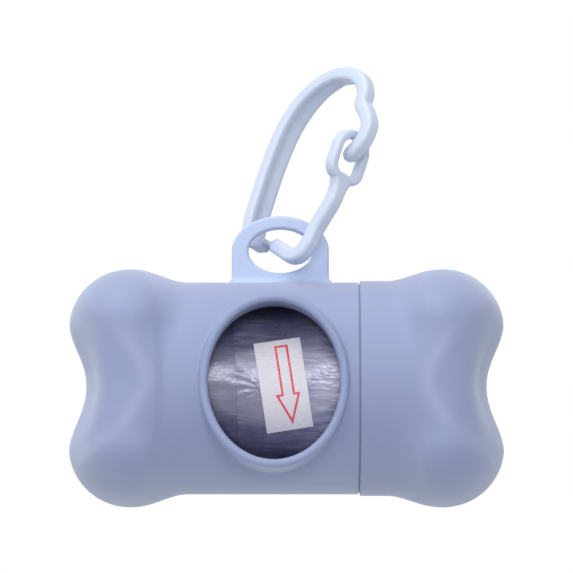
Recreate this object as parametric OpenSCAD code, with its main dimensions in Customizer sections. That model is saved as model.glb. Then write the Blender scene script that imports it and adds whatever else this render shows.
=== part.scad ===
// Bone-shaped dispenser for rolls of dog waste bags, hung from a lead by a moulded snap clip.
// X runs along the roll's axis, towards the screw cap. The window faces -Y and +Z is up.
// The origin is where a lead or a ring bears, inside the top of the clip's loop.

/* [Barrel] */
// Outer radius of the barrel
barrel_r = 20.6; // [20.5:0.1:22]
// Radius of the bore that holds the roll
bore_r = 17.8; // [17.6:0.1:17.9]
// Where the barrel ends and the cap begins, from the bone's middle
seam_x = 14; // [13:0.5:16]
// Overall length of the bone
bone_len = 84.6; // [83:0.2:90]

/* [Bone ends] */
// Height of a lobe's centre above the roll's axis
lobe_lift = 11.5; // [11:0.5:12.5]
// Half the thickness of a lobe along the bone
lobe_half_x = 12; // [11.4:0.2:12.4]
// Half the depth of a lobe from front to back
lobe_half_y = 20.4; // [19.4:0.2:20.8]
// Half the height of a lobe
lobe_half_z = 11.6; // [11:0.2:12]
// How softly the lobes run into the barrel
lobe_blend = 2.6; // [2.2:0.2:4]
// How far the notch between the lobes is cut into the end
notch_depth = 3.4; // [2:0.2:4]
// Radius of the notch
notch_r = 10.4; // [9:0.2:11]
// Depth of the scoop in the front and the back of each end
scoop_depth = 1.4; // [0.8:0.2:2]
// Half the height of the scoop
scoop_half_z = 18; // [16:0.5:19]

/* [Window] */
// Place of the window's middle along the bone
window_x = -2.4; // [-4:0.2:-1]
// Width of the window's opening
window_w = 25.4; // [22:0.1:26.5]
// Height of the window's opening
window_h = 29; // [26:0.1:29.8]
// Width of the rounded bead round the window
bead_w = 1.7; // [1.4:0.1:2]
// How far the bead stands out in front of the barrel
bead_rise = 1.3; // [1:0.1:2]
// How much the collar widens from the bead to its foot
collar_flare = 1; // [0.5:0.1:1.5]

/* [Lug] */
// Place of the lug's middle along the bone
lug_x = -1.2; // [-3:0.2:1]
// Width of the lug
lug_w = 18.9; // [18:0.1:22]
// Thickness of the lug
lug_t = 3; // [2.6:0.1:3.2]
// Height of the lug's top above the roll's axis
lug_top = 33.6; // [33:0.1:36]
// Height of the middle of the lug's hole above the roll's axis
hole_z = 26.8; // [26.4:0.1:27.2]
// Width of the lug's hole
hole_w = 12.4; // [12:0.1:14]
// Height of the lug's hole
hole_h = 8.6; // [8.4:0.1:9]

/* [Screw thread] */
// Outer radius of the neck below its thread
neck_r = 18.9; // [18.8:0.05:19]
// Length of the neck past the seam
neck_len = 8; // [7:0.5:9]
// Advance of the cap in one turn
thread_lead = 4; // [3.6:0.2:4.4]
// Height of the thread's ribs
rib_h = 0.6; // [0.4:0.05:0.65]
// Width of a rib at its foot
rib_w = 1.5; // [1:0.1:1.6]
// Turns of rib on the neck and in the cap
rib_turns = 1.1; // [0.8:0.1:1.2]
// Gap between a rib's crest and the wall that it faces
thread_gap = 0.25; // [0.2:0.05:0.3]

/* [Cap] */
// Outer radius of the cap's skirt
cap_r = 20.9; // [20.8:0.1:22]
// Gap at the seam
seam_gap = 0.3; // [0.2:0.05:0.5]

/* [Roll of bags] */
// Radius of the wound bags
roll_r = 16.4; // [14:0.1:16.6]
// Length of the wound bags
roll_len = 58; // [54:0.5:59]
// Gap between each end of the roll and the wall that it faces
roll_gap = 1; // [0.5:0.1:2]
// Outer radius of the cardboard core
core_r = 7; // [6.6:0.1:8]
// Wall of the cardboard core
core_wall = 0.8; // [0.6:0.1:1]
// Running gap between the core and the bags, and between the core and its spigots
core_gap = 0.2; // [0.1:0.05:0.3]
// Length of the spigots that carry the core
spigot_len = 9; // [6:0.5:14]
// Wall of the spigots
spigot_wall = 1.4; // [1:0.1:2]
// Thickness of the loose outer bag
bag_t = 0.3; // [0.2:0.05:0.4]
// Where the loose outer bag begins, from the bone's middle
bag_x = -10.6; // [-14:0.2:-8]
// Width of the paper label
label_w = 9; // [8:0.1:12]
// Height of the paper label
label_h = 17.4; // [14:0.1:20]
// Thickness of the paper label
label_t = 0.15; // [0.1:0.05:0.2]
// Slant of the paper label
label_slant = 8.7; // [0:0.1:12]

/* [Clip] */
// Turn of the clip's loop about the vertical
clip_turn = 46.6; // [40:0.2:52]
// Lean of the clip's loop to the back
clip_lean = 20.5; // [15:0.5:25]
// Width of the loop's strap
strap_w = 5; // [4.4:0.1:5.6]
// Thickness of the loop's strap
strap_t = 2.4; // [2:0.1:2.6]
// Depth of the grooves in the strap's two faces
strap_groove = 0.45; // [0.2:0.05:0.6]
// Width and thickness of the hook and of the gate
bar_w = 2.9; // [2.6:0.1:3]
// Length of the eye in the gate
eye_len = 10.7; // [10.4:0.1:10.8]
// Width of the eye in the gate
eye_w = 8.8; // [8.4:0.1:9.4]
// Width of the eye's rim
eye_rim = 1.7; // [1.6:0.1:1.9]
// Thickness of the eye along the nose
eye_t = 2.4; // [2:0.1:2.6]
// Thickness of the living hinge
web_t = 0.8; // [0.6:0.1:1]
// Length of the living hinge
web_len = 3.4; // [3:0.1:3.5]

/* [Hidden] */

body_blue = [0.66, 0.72, 0.86];
clip_blue = [0.78, 0.84, 0.94];
film_grey = [0.36, 0.36, 0.47];
film_pale = [0.47, 0.47, 0.58];
card_brown = [0.72, 0.62, 0.5];
label_white = [0.93, 0.93, 0.95];

bone_half = bone_len / 2;
lobe_x = bone_half - lobe_half_x;
notch_x = bone_half - notch_depth;
// Middle of the rays that find the skin of an end, and where the plain barrel begins
ray_x = lobe_x - 5;
ray_rings = 14;
ray_sides = 48;
plain_x = lobe_x - lobe_half_x + 0.5;
// How far the plain start of an end stands proud of the barrel that it grows from
end_proud = 0.06;
// The rounded end of the barrel that shows between the lobes
core_end_x = lobe_x + 8.9;
core_round = 7.5;
notch_blend = 4.5;
scoop_blend = 1.2;
scoop_x = lobe_x + 5.7;
scoop_reach = 12;
scoop_half_y = 9;

wall_x = roll_len / 2 + roll_gap;
pocket_r = bore_r / 2 - 0.1;
pocket_z = bore_r - pocket_r - 0.5;
pocket_x = notch_x - 2;

collar_y = barrel_r + bead_rise;
bead_r = bead_w / 2;
// How deep the collar's wall reaches into the barrel
collar_foot_y = -8;

spigot_r = core_r - core_wall - core_gap;
skirt_bore_r = neck_r + rib_h + thread_gap;
neck_x = seam_x + neck_len;
bags_r = core_r + core_gap / 2;

// The clip's own plane: x to the right limb, z along the loop, -y to its front face
clip_at = [-0.7, 0, 27];
rim_front = strap_w / 2;
bar_y = bar_w / 2 - rim_front;
hinge_pin = [-2.7, 0.9];
LIMB = [[-4.6, 1.1], [-7.4, 1.5], [-9.6, 3.3], [-10.3, 7], [-10.2, 12], [-9.7, 19], [-8.3, 26.4],
        [-5.8, 31.4], [-2, 35], [2.6, 36.9], [6.4, 36.8], [9, 35.9]];
HOOK = [[5.6, 36.9], [8.4, 36.4], [11, 34.8], [12.6, 32.4], [12.9, 29.7], [14.9, 27.4], [16.3, 24.9],
        [16, 22.1], [14.4, 19.8], [11.9, 18.2]];
// Rings over which the hook's nose is rounded off
nose_rings = 4;
GATE = [[-0.9, 0.4], [1.8, -0.9], [4.4, -2.1], [6.8, -1.8], [8.2, 0.2], [9.1, 3.3], [10.5, 6.4], [11.8, 9.5],
        [12.3, 13.2]];
eye_tilt = 4;

// Where the lead bears inside the top of the loop, in the bone's frame
lead_at = clip_point([3.9, 36.9 - strap_t / 2]);

function clip_point(p) =
    let (y = p[1] * sin(clip_lean), z = p[1] * cos(clip_lean))
    clip_at + [p[0] * cos(clip_turn) + y * sin(clip_turn), -p[0] * sin(clip_turn) + y * cos(clip_turn), z];

// Smooth joins and cuts of two distances, h apart at most
function soft_min(a, b, h) = min(a, b) - pow(max(h - abs(a - b), 0), 2) / (4 * h);
function soft_max(a, b, h) = -soft_min(-a, -b, h);

// Nearly the distance from a point to an ellipsoid of half-axes r round the origin
function ellipsoid_gap(v, r) =
    let (a = [v[0] / r[0], v[1] / r[1], v[2] / r[2]],
         k0 = norm(a) + 1e-9,
         k1 = norm([a[0] / r[0], a[1] / r[1], a[2] / r[2]]) + 1e-9)
    k0 * (k0 - 1) / k1;

// Distance from a point to the skin of a bone end, with x outwards along the bone and r the barrel
function end_gap(x, y, z, r) =
    let (lobes = ellipsoid_gap([x - lobe_x, y, max(abs(z) - lobe_lift, 0)],
                               [lobe_half_x, lobe_half_y, lobe_half_z]),
         radial = norm([y, z]) - (r - core_round),
         along = x - core_end_x + core_round,
         barrel = min(max(radial, along), 0) + norm([max(radial, 0), max(along, 0)]) - core_round,
         past = x - notch_x,
         notch = past < notch_r ? norm([past - notch_r, z]) - notch_r : abs(z) - notch_r,
         scoop_y = barrel_r - scoop_depth + scoop_half_y,
         scoop = ellipsoid_gap([max(scoop_x - x, 0), scoop_y - abs(y), z],
                               [scoop_reach, scoop_half_y, scoop_half_z]),
         solid = soft_min(lobes, barrel, lobe_blend))
    soft_max(soft_max(solid, -notch, notch_blend), -scoop, scoop_blend);

// Length of a ray from the middle of an end to its skin, by halving
function ray_len(d, r, lo = 5, hi = 45, n = 18) =
    n == 0 ? (lo + hi) / 2
    : let (m = (lo + hi) / 2)
      end_gap(ray_x + d[0] * m, d[1] * m, d[2] * m, r) < 0
      ? ray_len(d, r, m, hi, n - 1)
      : ray_len(d, r, lo, m, n - 1);

// How far out the skin of an end is at x, between the plain barrel and the rays' middle
function flank_r(x, b, r) =
    x == ray_x ? ray_len([0, cos(b), sin(b)], r)
    : x > plain_x ? r - min(end_gap(x, r * cos(b), r * sin(b), r), 0)
    : r / cos(180 / ray_sides) + end_proud;

// The rings of a bone end: rays out to the lobes, then rings back to where the plain barrel begins
function end_points(r) =
    let (n = ray_sides)
    concat(
        [[ray_x + ray_len([1, 0, 0], r), 0, 0]],
        [for (i = [1 : ray_rings - 1]) for (k = [0 : n - 1])
            let (a = 90 * i / ray_rings, b = 360 * k / n, d = [cos(a), sin(a) * cos(b), sin(a) * sin(b)])
            [ray_x, 0, 0] + d * ray_len(d, r)],
        [for (x = [ray_x, (ray_x + plain_x) / 2, plain_x]) for (k = [0 : n - 1])
            let (b = 360 * k / n, c = flank_r(x, b, r))
            [x, c * cos(b), c * sin(b)]],
        [[plain_x, 0, 0]]);

function end_faces() =
    let (n = ray_sides, rings = ray_rings + 2, tail = 1 + rings * n)
    concat(
        [for (k = [0 : n - 1]) [0, 1 + (k + 1) % n, 1 + k]],
        [for (i = [0 : rings - 2]) for (k = [0 : n - 1]) for (t = [0, 1])
            let (a = 1 + i * n + k, b = 1 + i * n + (k + 1) % n, c = a + n, d = b + n)
            t == 0 ? [a, b, c] : [b, d, c]],
        [for (k = [0 : n - 1]) [tail, tail - n + k, tail - n + (k + 1) % n]]);

// A shaped bone end whose lobes point to +X, on a barrel of radius r that runs back to x_end
module bone_end(r, x_end) {
    polyhedron(points = end_points(r), faces = end_faces());
    bar_x(r, x_end, plain_x + 0.4);
}

// Points of an ellipse with half-axes a and b
function oval(a, b, n = 48) = [for (k = [0 : n - 1]) [a * cos(360 * k / n), b * sin(360 * k / n)]];

// A prism of the ellipse with half-axes a and b, from y0 to y1
module oval_prism(a, b, y0, y1, n = 48) {
    translate([0, y1, 0]) rotate([90, 0, 0]) linear_extrude(height = y1 - y0) polygon(oval(a, b, n));
}

// A closed tube swept through rings of points, each ring with n points
function tube_faces(rings, n) = concat(
    [[for (k = [0 : n - 1]) k]],
    [for (i = [0 : rings - 2]) for (k = [0 : n - 1]) for (t = [0, 1])
        let (a = i * n + k, b = i * n + (k + 1) % n, c = a + n, d = b + n)
        t == 0 ? [a, c, b] : [b, c, d]],
    [[for (k = [0 : n - 1]) rings * n - 1 - k]]);

// The collar round the window: a flared oval wall with a rounded bead in front
function collar_profile() = concat(
    [[bead_w + collar_flare, collar_foot_y]],
    [for (a = [0 : 45 : 180]) [bead_r + bead_r * cos(a), -(collar_y - bead_r) - bead_r * sin(a)]],
    [[0, collar_foot_y]]);

module window_collar() {
    profile = collar_profile();
    n = 48;
    m = len(profile);
    points = [for (k = [0 : n - 1]) for (p = profile)
        let (c = cos(360 * k / n), s = sin(360 * k / n))
        [(window_w / 2 + p[0]) * c, p[1], (window_h / 2 + p[0]) * s]];
    faces = [for (k = [0 : n - 1]) for (i = [0 : m - 1]) for (t = [0, 1])
        let (a = k * m + i, b = k * m + (i + 1) % m,
             c = ((k + 1) % n) * m + i, d = ((k + 1) % n) * m + (i + 1) % m)
        t == 0 ? [a, b, c] : [b, d, c]];
    translate([window_x, 0, 0]) polyhedron(points = points, faces = faces);
}

// The opening in the barrel, which ends inside the collar's wall
module window_cut() {
    translate([window_x, 0, 0])
        oval_prism((window_w + bead_w) / 2, (window_h + bead_w) / 2, -collar_y, -bore_r / 4);
}

// The lug's outline, from its foot in the barrel up over its arch
function lug_outline() =
    let (foot = barrel_r - 1.5, w = lug_w / 2, flare = 0.8, side = barrel_r + 2.2)
    concat(
        [[-w - flare, foot], [w + flare, foot], [w + flare, barrel_r - 0.2]],
        [for (a = [15 : 15 : 75]) [w + flare - flare * sin(a), side - (side - barrel_r + 0.2) * cos(a)]],
        [for (a = [0 : 7.5 : 180]) [w * cos(a), hole_z + (lug_top - hole_z) * sin(a)]],
        [for (a = [75 : -15 : 15]) [-w - flare + flare * sin(a), side - (side - barrel_r + 0.2) * cos(a)]],
        [[-w - flare, barrel_r - 0.2]]);

module lug() {
    translate([lug_x, lug_t / 2, 0]) rotate([90, 0, 0]) difference() {
        linear_extrude(height = lug_t) polygon(lug_outline());
        translate([0, hole_z, -1]) linear_extrude(height = lug_t + 2) polygon(oval(hole_w / 2, hole_h / 2));
    }
}

// A helical rib along X, from radius foot_r to crest_r, its middle starting at x0
module thread_rib(foot_r, crest_r, x0) {
    steps = ceil(rib_turns * 30);
    bite = foot_r < crest_r ? -0.25 : 0.25;
    crest_w = rib_w * 0.5;
    points = [for (i = [0 : steps])
        let (a = 360 * rib_turns * i / steps, x = x0 + thread_lead * a / 360, full = min(i, steps - i, 2) / 2,
             top = foot_r + (crest_r - foot_r) * max(full, 0.15))
        for (p = [[foot_r + bite, -rib_w / 2], [top, -crest_w / 2], [top, crest_w / 2],
                  [foot_r + bite, rib_w / 2]])
            [x + p[1], p[0] * cos(a), p[0] * sin(a)]];
    faces = tube_faces(steps + 1, 4);
    turned = [for (f = faces) [for (i = [len(f) - 1 : -1 : 0]) f[i]]];
    polyhedron(points = points, faces = bite > 0 ? faces : turned);
}

// A round bar along X from x0 to x1
module bar_x(r, x0, x1) {
    translate([x0, 0, 0]) rotate([0, 90, 0]) cylinder(r = r, h = x1 - x0, $fn = 96);
}

// The hollow of a bone end: the bore's last stretch and a blind pocket in each lobe
module end_hollow(x0) {
    bar_x(bore_r, x0, wall_x);
    for (side = [-1, 1]) translate([0, 0, side * pocket_z]) bar_x(pocket_r, wall_x - 1, pocket_x);
}

// The hollow spigot that carries an end of the core
module core_spigot() {
    difference() {
        bar_x(spigot_r, roll_len / 2 + 0.3 - spigot_len, pocket_x + 0.5);
        bar_x(spigot_r - spigot_wall, roll_len / 2 - spigot_len, pocket_x - 1);
    }
}

// Everything is drawn round the bone's middle and moved to the lead's bearing point here
module in_place() {
    translate(-lead_at) children();
}

module in_clip_plane() {
    translate(clip_at) rotate([-clip_lean, 0, -clip_turn]) children();
}

module body_shell() {
    in_place() color(body_blue) {
        difference() {
            union() {
                difference() {
                    mirror([1, 0, 0]) bone_end(barrel_r, -seam_x);
                    window_cut();
                }
                window_collar();
                bar_x(neck_r, seam_x - 1, neck_x);
                lug();
            }
            mirror([1, 0, 0]) end_hollow(-neck_x - 1);
        }
        mirror([1, 0, 0]) core_spigot();
        thread_rib(neck_r, neck_r + rib_h, seam_x + 1.6);
    }
}

module end_cap() {
    in_place() color(body_blue) {
        difference() {
            bone_end(cap_r, seam_x + seam_gap);
            bar_x(skirt_bore_r, seam_x - 1, neck_x + 0.6);
            end_hollow(neck_x);
        }
        core_spigot();
        thread_rib(skirt_bore_r, skirt_bore_r - rib_h, seam_x + 1.6 + thread_lead / 2);
    }
}

// A smooth curve through points, with n steps in each span
function curve(p, n) = concat(
    [for (i = [0 : len(p) - 2]) for (k = [0 : n - 1])
        let (t = k / n, a = p[max(i - 1, 0)], b = p[i], c = p[i + 1], d = p[min(i + 2, len(p) - 1)])
        0.5 * (2 * b + (c - a) * t + (2 * a - 5 * b + 4 * c - d) * t * t
               + (3 * b - a - 3 * c + d) * t * t * t)],
    [p[len(p) - 1]]);

// A bar swept along a curve in the clip's plane. Its section's x is across the curve, y is to the back.
// The last rings, nose of them, shrink round y = bar_y to a blunt tip
module swept_bar(path, section, nose = 0) {
    last = len(path) - 1;
    points = [for (i = [0 : last])
        let (d = path[min(i + 1, last)] - path[max(i - 1, 0)], m = [d[1], -d[0]] / norm(d),
             t = max(i - last + nose, 0) / (nose + 1), f = sqrt(1 - t * t))
        for (s = section)
            [path[i][0] + m[0] * s[0] * f, bar_y + (s[1] - bar_y) * f, path[i][1] + m[1] * s[0] * f]];
    polyhedron(points = points, faces = tube_faces(last + 1, len(section)));
}

// A rounded oblong section of t across by w deep, its middle at y
function bar_section(t, w, y, round = 0.7) = [
    [t / 2, y - w / 2 + round], [t / 2, y + w / 2 - round],
    [t / 2 - round, y + w / 2], [-t / 2 + round, y + w / 2],
    [-t / 2, y + w / 2 - round], [-t / 2, y - w / 2 + round],
    [-t / 2 + round, y - w / 2], [t / 2 - round, y - w / 2]];

// The strap's section, with a shallow groove along each face
function strap_section() =
    let (t = strap_t / 2, w = strap_w / 2, g = strap_groove, r = 0.5, rim = 1.3)
    [[t, -w + r], [t, -w + rim], [t - g, -w + rim + g], [t - g, w - rim - g], [t, w - rim], [t, w - r],
     [t - r, w], [-t + r, w],
     [-t, w - r], [-t, w - rim], [-t + g, w - rim - g], [-t + g, -w + rim + g], [-t, -w + rim], [-t, -w + r],
     [-t + r, -w], [t - r, -w]];

module clip_frame() {
    in_place() color(clip_blue) in_clip_plane() resize([0, 0, 0]) {
        swept_bar(curve(LIMB, 4), strap_section());
        swept_bar(curve(HOOK, 5), bar_section(bar_w, bar_w, bar_y), nose_rings);
    }
}

// The thin web that joins the gate to the loop and bends when the gate opens
module clip_hinge() {
    in_place() color(clip_blue) in_clip_plane() {
        d = hinge_pin - LIMB[0];
        translate([hinge_pin[0], bar_y, hinge_pin[1]]) rotate([0, -atan2(d[1], d[0]), 0])
            cube([web_len, bar_w, web_t], center = true);
    }
}

module clip_gate() {
    tip = GATE[len(GATE) - 1];
    in_place() color(clip_blue) in_clip_plane() {
        swept_bar(curve(GATE, 5), bar_section(bar_w, bar_w, bar_y));
        translate([tip[0], bar_y, tip[1]]) rotate([0, eye_tilt, 0]) gate_eye();
    }
}

// The eye at the gate's end: a stirrup whose slot takes the hook's nose
module gate_eye() {
    r = eye_w / 2;
    slot_r = r - eye_rim;
    rotate([0, 90, 0]) rotate([0, 0, 90]) linear_extrude(height = eye_t, center = true) difference() {
        stirrup(r, eye_len, 2.6);
        translate([0, eye_rim]) stirrup(slot_r, eye_len - 2 * eye_rim, 1);
    }
}

// Outline of a stirrup of half-width r and the given length, with foot corners of radius round
module stirrup(r, length, round) {
    translate([0, length - r]) circle(r = r, $fn = 48);
    translate([-r, round]) square([2 * r, length - r - round]);
    translate([-r + round, 0]) square([2 * (r - round), round + 0.01]);
    for (side = [-1, 1]) translate([side * (r - round), round]) circle(r = round, $fn = 32);
}

module bag_roll() {
    in_place() color(film_grey) difference() {
        bar_x(roll_r, -roll_len / 2, roll_len / 2);
        bar_x(bags_r, -roll_len / 2 - 1, roll_len / 2 + 1);
    }
}

module outer_bag() {
    in_place() color(film_pale) difference() {
        bar_x(roll_r + bag_t, bag_x, roll_len / 2);
        bar_x(roll_r, bag_x - 1, roll_len / 2 + 1);
    }
}

module core_tube() {
    in_place() color(card_brown) difference() {
        bar_x(core_r, -roll_len / 2, roll_len / 2);
        bar_x(core_r - core_wall, -roll_len / 2 - 1, roll_len / 2 + 1);
    }
}

module roll_label() {
    r = roll_r + bag_t;
    in_place() color(label_white) intersection() {
        difference() {
            bar_x(r + label_t, -label_h, label_h);
            bar_x(r, -label_h - 1, label_h + 1);
        }
        translate([-0.6, -r, -0.5]) rotate([0, -label_slant, 0])
            cube([label_w, r, label_h], center = true);
    }
}

body_shell();
end_cap();
clip_frame();
clip_hinge();
clip_gate();
bag_roll();
outer_bag();
core_tube();
roll_label();
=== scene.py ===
import logging
import math
from dataclasses import dataclass, field
from enum import Enum
from typing import Callable, Sequence

import bmesh
import bpy
import numpy as np
from mathutils import Matrix, Vector


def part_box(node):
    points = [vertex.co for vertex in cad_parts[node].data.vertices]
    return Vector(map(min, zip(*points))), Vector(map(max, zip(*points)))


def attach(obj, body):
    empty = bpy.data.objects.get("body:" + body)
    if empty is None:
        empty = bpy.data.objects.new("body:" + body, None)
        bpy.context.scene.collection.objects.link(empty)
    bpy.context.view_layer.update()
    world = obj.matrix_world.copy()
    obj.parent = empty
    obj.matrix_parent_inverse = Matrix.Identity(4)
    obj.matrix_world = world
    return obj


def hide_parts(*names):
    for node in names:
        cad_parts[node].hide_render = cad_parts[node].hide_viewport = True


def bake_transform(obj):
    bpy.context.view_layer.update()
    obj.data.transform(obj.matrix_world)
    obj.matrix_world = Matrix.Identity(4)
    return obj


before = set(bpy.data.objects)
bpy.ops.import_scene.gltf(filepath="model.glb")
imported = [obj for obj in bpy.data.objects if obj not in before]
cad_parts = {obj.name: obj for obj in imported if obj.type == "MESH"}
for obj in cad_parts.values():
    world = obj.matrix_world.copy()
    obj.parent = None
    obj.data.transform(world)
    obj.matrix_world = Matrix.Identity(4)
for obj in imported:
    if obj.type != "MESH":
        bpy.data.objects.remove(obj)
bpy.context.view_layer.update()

log = logging.getLogger("dispenser")
MM = 0.001
UPRIGHT = Matrix.Rotation(math.radians(90), 3, "X")
Path = Sequence[tuple[float, float]]
Shape = bmesh.types.BMesh
Tree = bpy.types.NodeTree
Socket = bpy.types.NodeSocket


class Rider(Enum):
    """The moving bodies that a piece can ride on."""

    CLIP = "clip"
    GATE = "gate"
    SHELL = "shell"
    CORE = "core"
    CAP = "cap"
    ROLL = "roll"


# Shaping

def soft_min(a: np.ndarray, b: np.ndarray, h: float) -> np.ndarray:
    """Joins two distances with a round of about h."""
    return np.minimum(a, b) - np.maximum(h - np.abs(a - b), 0) ** 2 / (4 * h)


def soft_max(a: np.ndarray, b: np.ndarray, h: float) -> np.ndarray:
    """Cuts one distance with another, with a round of about h."""
    return -soft_min(-a, -b, h)


def ease(t: float | np.ndarray) -> float | np.ndarray:
    """Runs smoothly from 0 to 1 as t does."""
    t = np.clip(t, 0.0, 1.0)
    return t * t * (3 - 2 * t)


def mix(a: float, b: float, t: float) -> float:
    """Value a share t of the way from a to b."""
    return a + (b - a) * t


def arc(centre: tuple[float, float], radius: float, start: float, stop: float,
        steps: int) -> list[tuple[float, float]]:
    """Points of an arc in a plane.

    Args:
        centre: Middle of the arc.
        radius: Radius of the arc.
        start: First angle in degrees.
        stop: Last angle in degrees.
        steps: Number of spans.

    Returns:
        The points, ends included.
    """
    angles = [math.radians(start + (stop - start) * i / steps) for i in range(steps + 1)]
    return [(centre[0] + radius * math.cos(a), centre[1] + radius * math.sin(a)) for a in angles]


def smooth_curve(points: Path, steps: int) -> np.ndarray:
    """Runs a smooth curve through points.

    Args:
        points: The points to pass through.
        steps: Number of steps in each span.

    Returns:
        One row a step.
    """
    p = np.array(points, float)
    out = []
    for i in range(len(p) - 1):
        a, b, c, d = p[max(i - 1, 0)], p[i], p[i + 1], p[min(i + 2, len(p) - 1)]
        for k in range(steps):
            t = k / steps
            out.append(0.5 * (2 * b + (c - a) * t + (2 * a - 5 * b + 4 * c - d) * t * t
                              + (3 * b - a - 3 * c + d) * t ** 3))
    out.append(p[-1])
    return np.array(out)


def spun(profile: Path, sides: int, closed: bool = False) -> Shape:
    """Spins a line once about the bone's axis.

    Args:
        profile: Points (x, radius) of the line.
        sides: Number of steps round the axis.
        closed: True for a ring, False for a line that ends on the axis.

    Returns:
        The spun shape, its seam and poles merged.
    """
    bm = bmesh.new()
    verts = [bm.verts.new((x, -r, 0.0)) for x, r in profile]
    edges = [bm.edges.new(pair) for pair in zip(verts, verts[1:])]
    if closed:
        edges.append(bm.edges.new((verts[-1], verts[0])))
    bmesh.ops.spin(bm, geom=verts + edges, cent=(0, 0, 0), axis=(1, 0, 0), angle=2 * math.pi,
                   steps=sides, use_merge=True)
    bmesh.ops.remove_doubles(bm, verts=bm.verts[:], dist=1e-4)
    bmesh.ops.recalc_face_normals(bm, faces=bm.faces[:])
    return bm


def swept(rings: Sequence[np.ndarray], closed: bool = False) -> Shape:
    """Extrudes a ring of points through further rings.

    Args:
        rings: Rings with the same number of points each.
        closed: True where the last ring joins the first.

    Returns:
        The swept shape, with both ends filled where it is open.
    """
    bm = bmesh.new()
    rings = list(rings) + ([rings[0]] if closed else [])
    count = len(rings[0])
    row = [bm.verts.new(p) for p in rings[0]]
    edges = [bm.edges.new((row[i], row[(i + 1) % count])) for i in range(count)]
    first = list(edges)
    for ring in rings[1:]:
        place = {v: i for i, v in enumerate(row)}
        made = bmesh.ops.extrude_edge_only(bm, edges=edges)["geom"]
        fresh = [None] * count
        for vert in (g for g in made if isinstance(g, bmesh.types.BMVert)):
            old = next(e.other_vert(vert) for e in vert.link_edges if e.other_vert(vert) in place)
            fresh[place[old]] = vert
        for vert, point in zip(fresh, ring):
            vert.co = point
        edges = [g for g in made if isinstance(g, bmesh.types.BMEdge)]
        row = fresh
    if closed:
        bmesh.ops.remove_doubles(bm, verts=bm.verts[:], dist=1e-5)
    else:
        bmesh.ops.holes_fill(bm, edges=first + edges, sides=0)
    bmesh.ops.recalc_face_normals(bm, faces=bm.faces[:])
    return bm


def mirrored(bm: Shape) -> Shape:
    """Mirrors a shape to the bone's other end.

    Args:
        bm: The shape.

    Returns:
        The same shape.
    """
    bmesh.ops.scale(bm, vec=(-1, 1, 1), verts=bm.verts[:])
    bmesh.ops.recalc_face_normals(bm, faces=bm.faces[:])
    return bm


def new_object(name: str, data: bpy.types.ID) -> bpy.types.Object:
    """Makes an object at the origin and puts it in the scene.

    Args:
        name: Name of the object.
        data: Its mesh, lamp or camera.

    Returns:
        The object.
    """
    obj = bpy.data.objects.new(name, data)
    bpy.context.scene.collection.objects.link(obj)
    return obj


def joined(parts: Sequence[Shape]) -> Shape:
    """Puts several shapes into one.

    Args:
        parts: The shapes. All but the first are used up.

    Returns:
        The first shape, with the others in it.
    """
    whole = parts[0]
    for part in parts[1:]:
        mesh = bpy.data.meshes.new("joining")
        part.to_mesh(mesh)
        part.free()
        whole.from_mesh(mesh)
        bpy.data.meshes.remove(mesh)
    return whole


def cut_out(bm: Shape, cutter: Shape) -> Shape:
    """Cuts one shape out of another. Both are used up.

    Args:
        bm: The shape that is cut.
        cutter: The shape that is taken away.

    Returns:
        What is left.
    """
    pair = []
    for part in (bm, cutter):
        mesh = bpy.data.meshes.new("cutting")
        part.to_mesh(mesh)
        part.free()
        pair.append(new_object("cutting", mesh))
    cut = pair[0].modifiers.new("cut", "BOOLEAN")
    cut.operation = "DIFFERENCE"
    cut.solver = "EXACT"
    cut.object = pair[1]
    seen = pair[0].evaluated_get(bpy.context.evaluated_depsgraph_get())
    out = bmesh.new()
    out.from_mesh(seen.to_mesh())
    seen.to_mesh_clear()
    for obj in pair:
        mesh = obj.data
        bpy.data.objects.remove(obj)
        bpy.data.meshes.remove(mesh)
    return out


def mark_verts(bm: Shape, name: str, rule: Callable[[np.ndarray], np.ndarray]) -> None:
    """Writes one number for each corner as an attribute of a shape.

    Args:
        bm: The shape.
        name: Name of the attribute.
        rule: Gives the numbers for rows of coordinates.
    """
    layer = bm.verts.layers.float.new(name)
    for vert, share in zip(bm.verts, rule(np.array([v.co for v in bm.verts], float))):
        vert[layer] = float(share)


def move_verts(bm: Shape, rule: Callable[[np.ndarray], np.ndarray]) -> None:
    """Moves all corners of a shape by one rule.

    Args:
        bm: The shape.
        rule: Gives the new coordinates for rows of old ones.
    """
    co = np.array([v.co for v in bm.verts], float)
    for vert, point in zip(bm.verts, rule(co)):
        vert.co = point
    bm.normal_update()


def slab_section(thick: float, front: float, back: float, groove: float, rim: float,
                 corner: float) -> np.ndarray:
    """Section of a bar with rounded corners and a groove along each flat side.

    Args:
        thick: Thickness across the curve that it follows.
        front: Place of its front face.
        back: Place of its back face.
        groove: Depth of the grooves.
        rim: Width of the rims beside the grooves.
        corner: Radius of the corners.

    Returns:
        Rows of (across, depth).
    """
    half, bed = thick / 2, max(groove, 0.02)
    side = [(half, front + rim), (half - groove, front + rim + bed * 1.3),
            (half - groove, back - rim - bed * 1.3), (half, back - rim)]
    return np.array(
        arc((half - corner, front + corner), corner, -90, 0, 4) + side
        + arc((half - corner, back - corner), corner, 0, 90, 4)
        + arc((corner - half, back - corner), corner, 90, 180, 4)
        + [(-x, y) for x, y in reversed(side)]
        + arc((corner - half, front + corner), corner, 180, 270, 4))


# Finishes

def new_material(name: str) -> tuple[bpy.types.Material, Tree, bpy.types.Node]:
    """Starts a node material.

    Args:
        name: Name of the material.

    Returns:
        The material, its node tree and its Principled BSDF.
    """
    material = bpy.data.materials.new(name)
    material.use_nodes = True
    tree = material.node_tree
    tree.nodes.clear()
    out = tree.nodes.new("ShaderNodeOutputMaterial")
    skin = tree.nodes.new("ShaderNodeBsdfPrincipled")
    tree.links.new(skin.outputs[0], out.inputs["Surface"])
    return material, tree, skin


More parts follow.
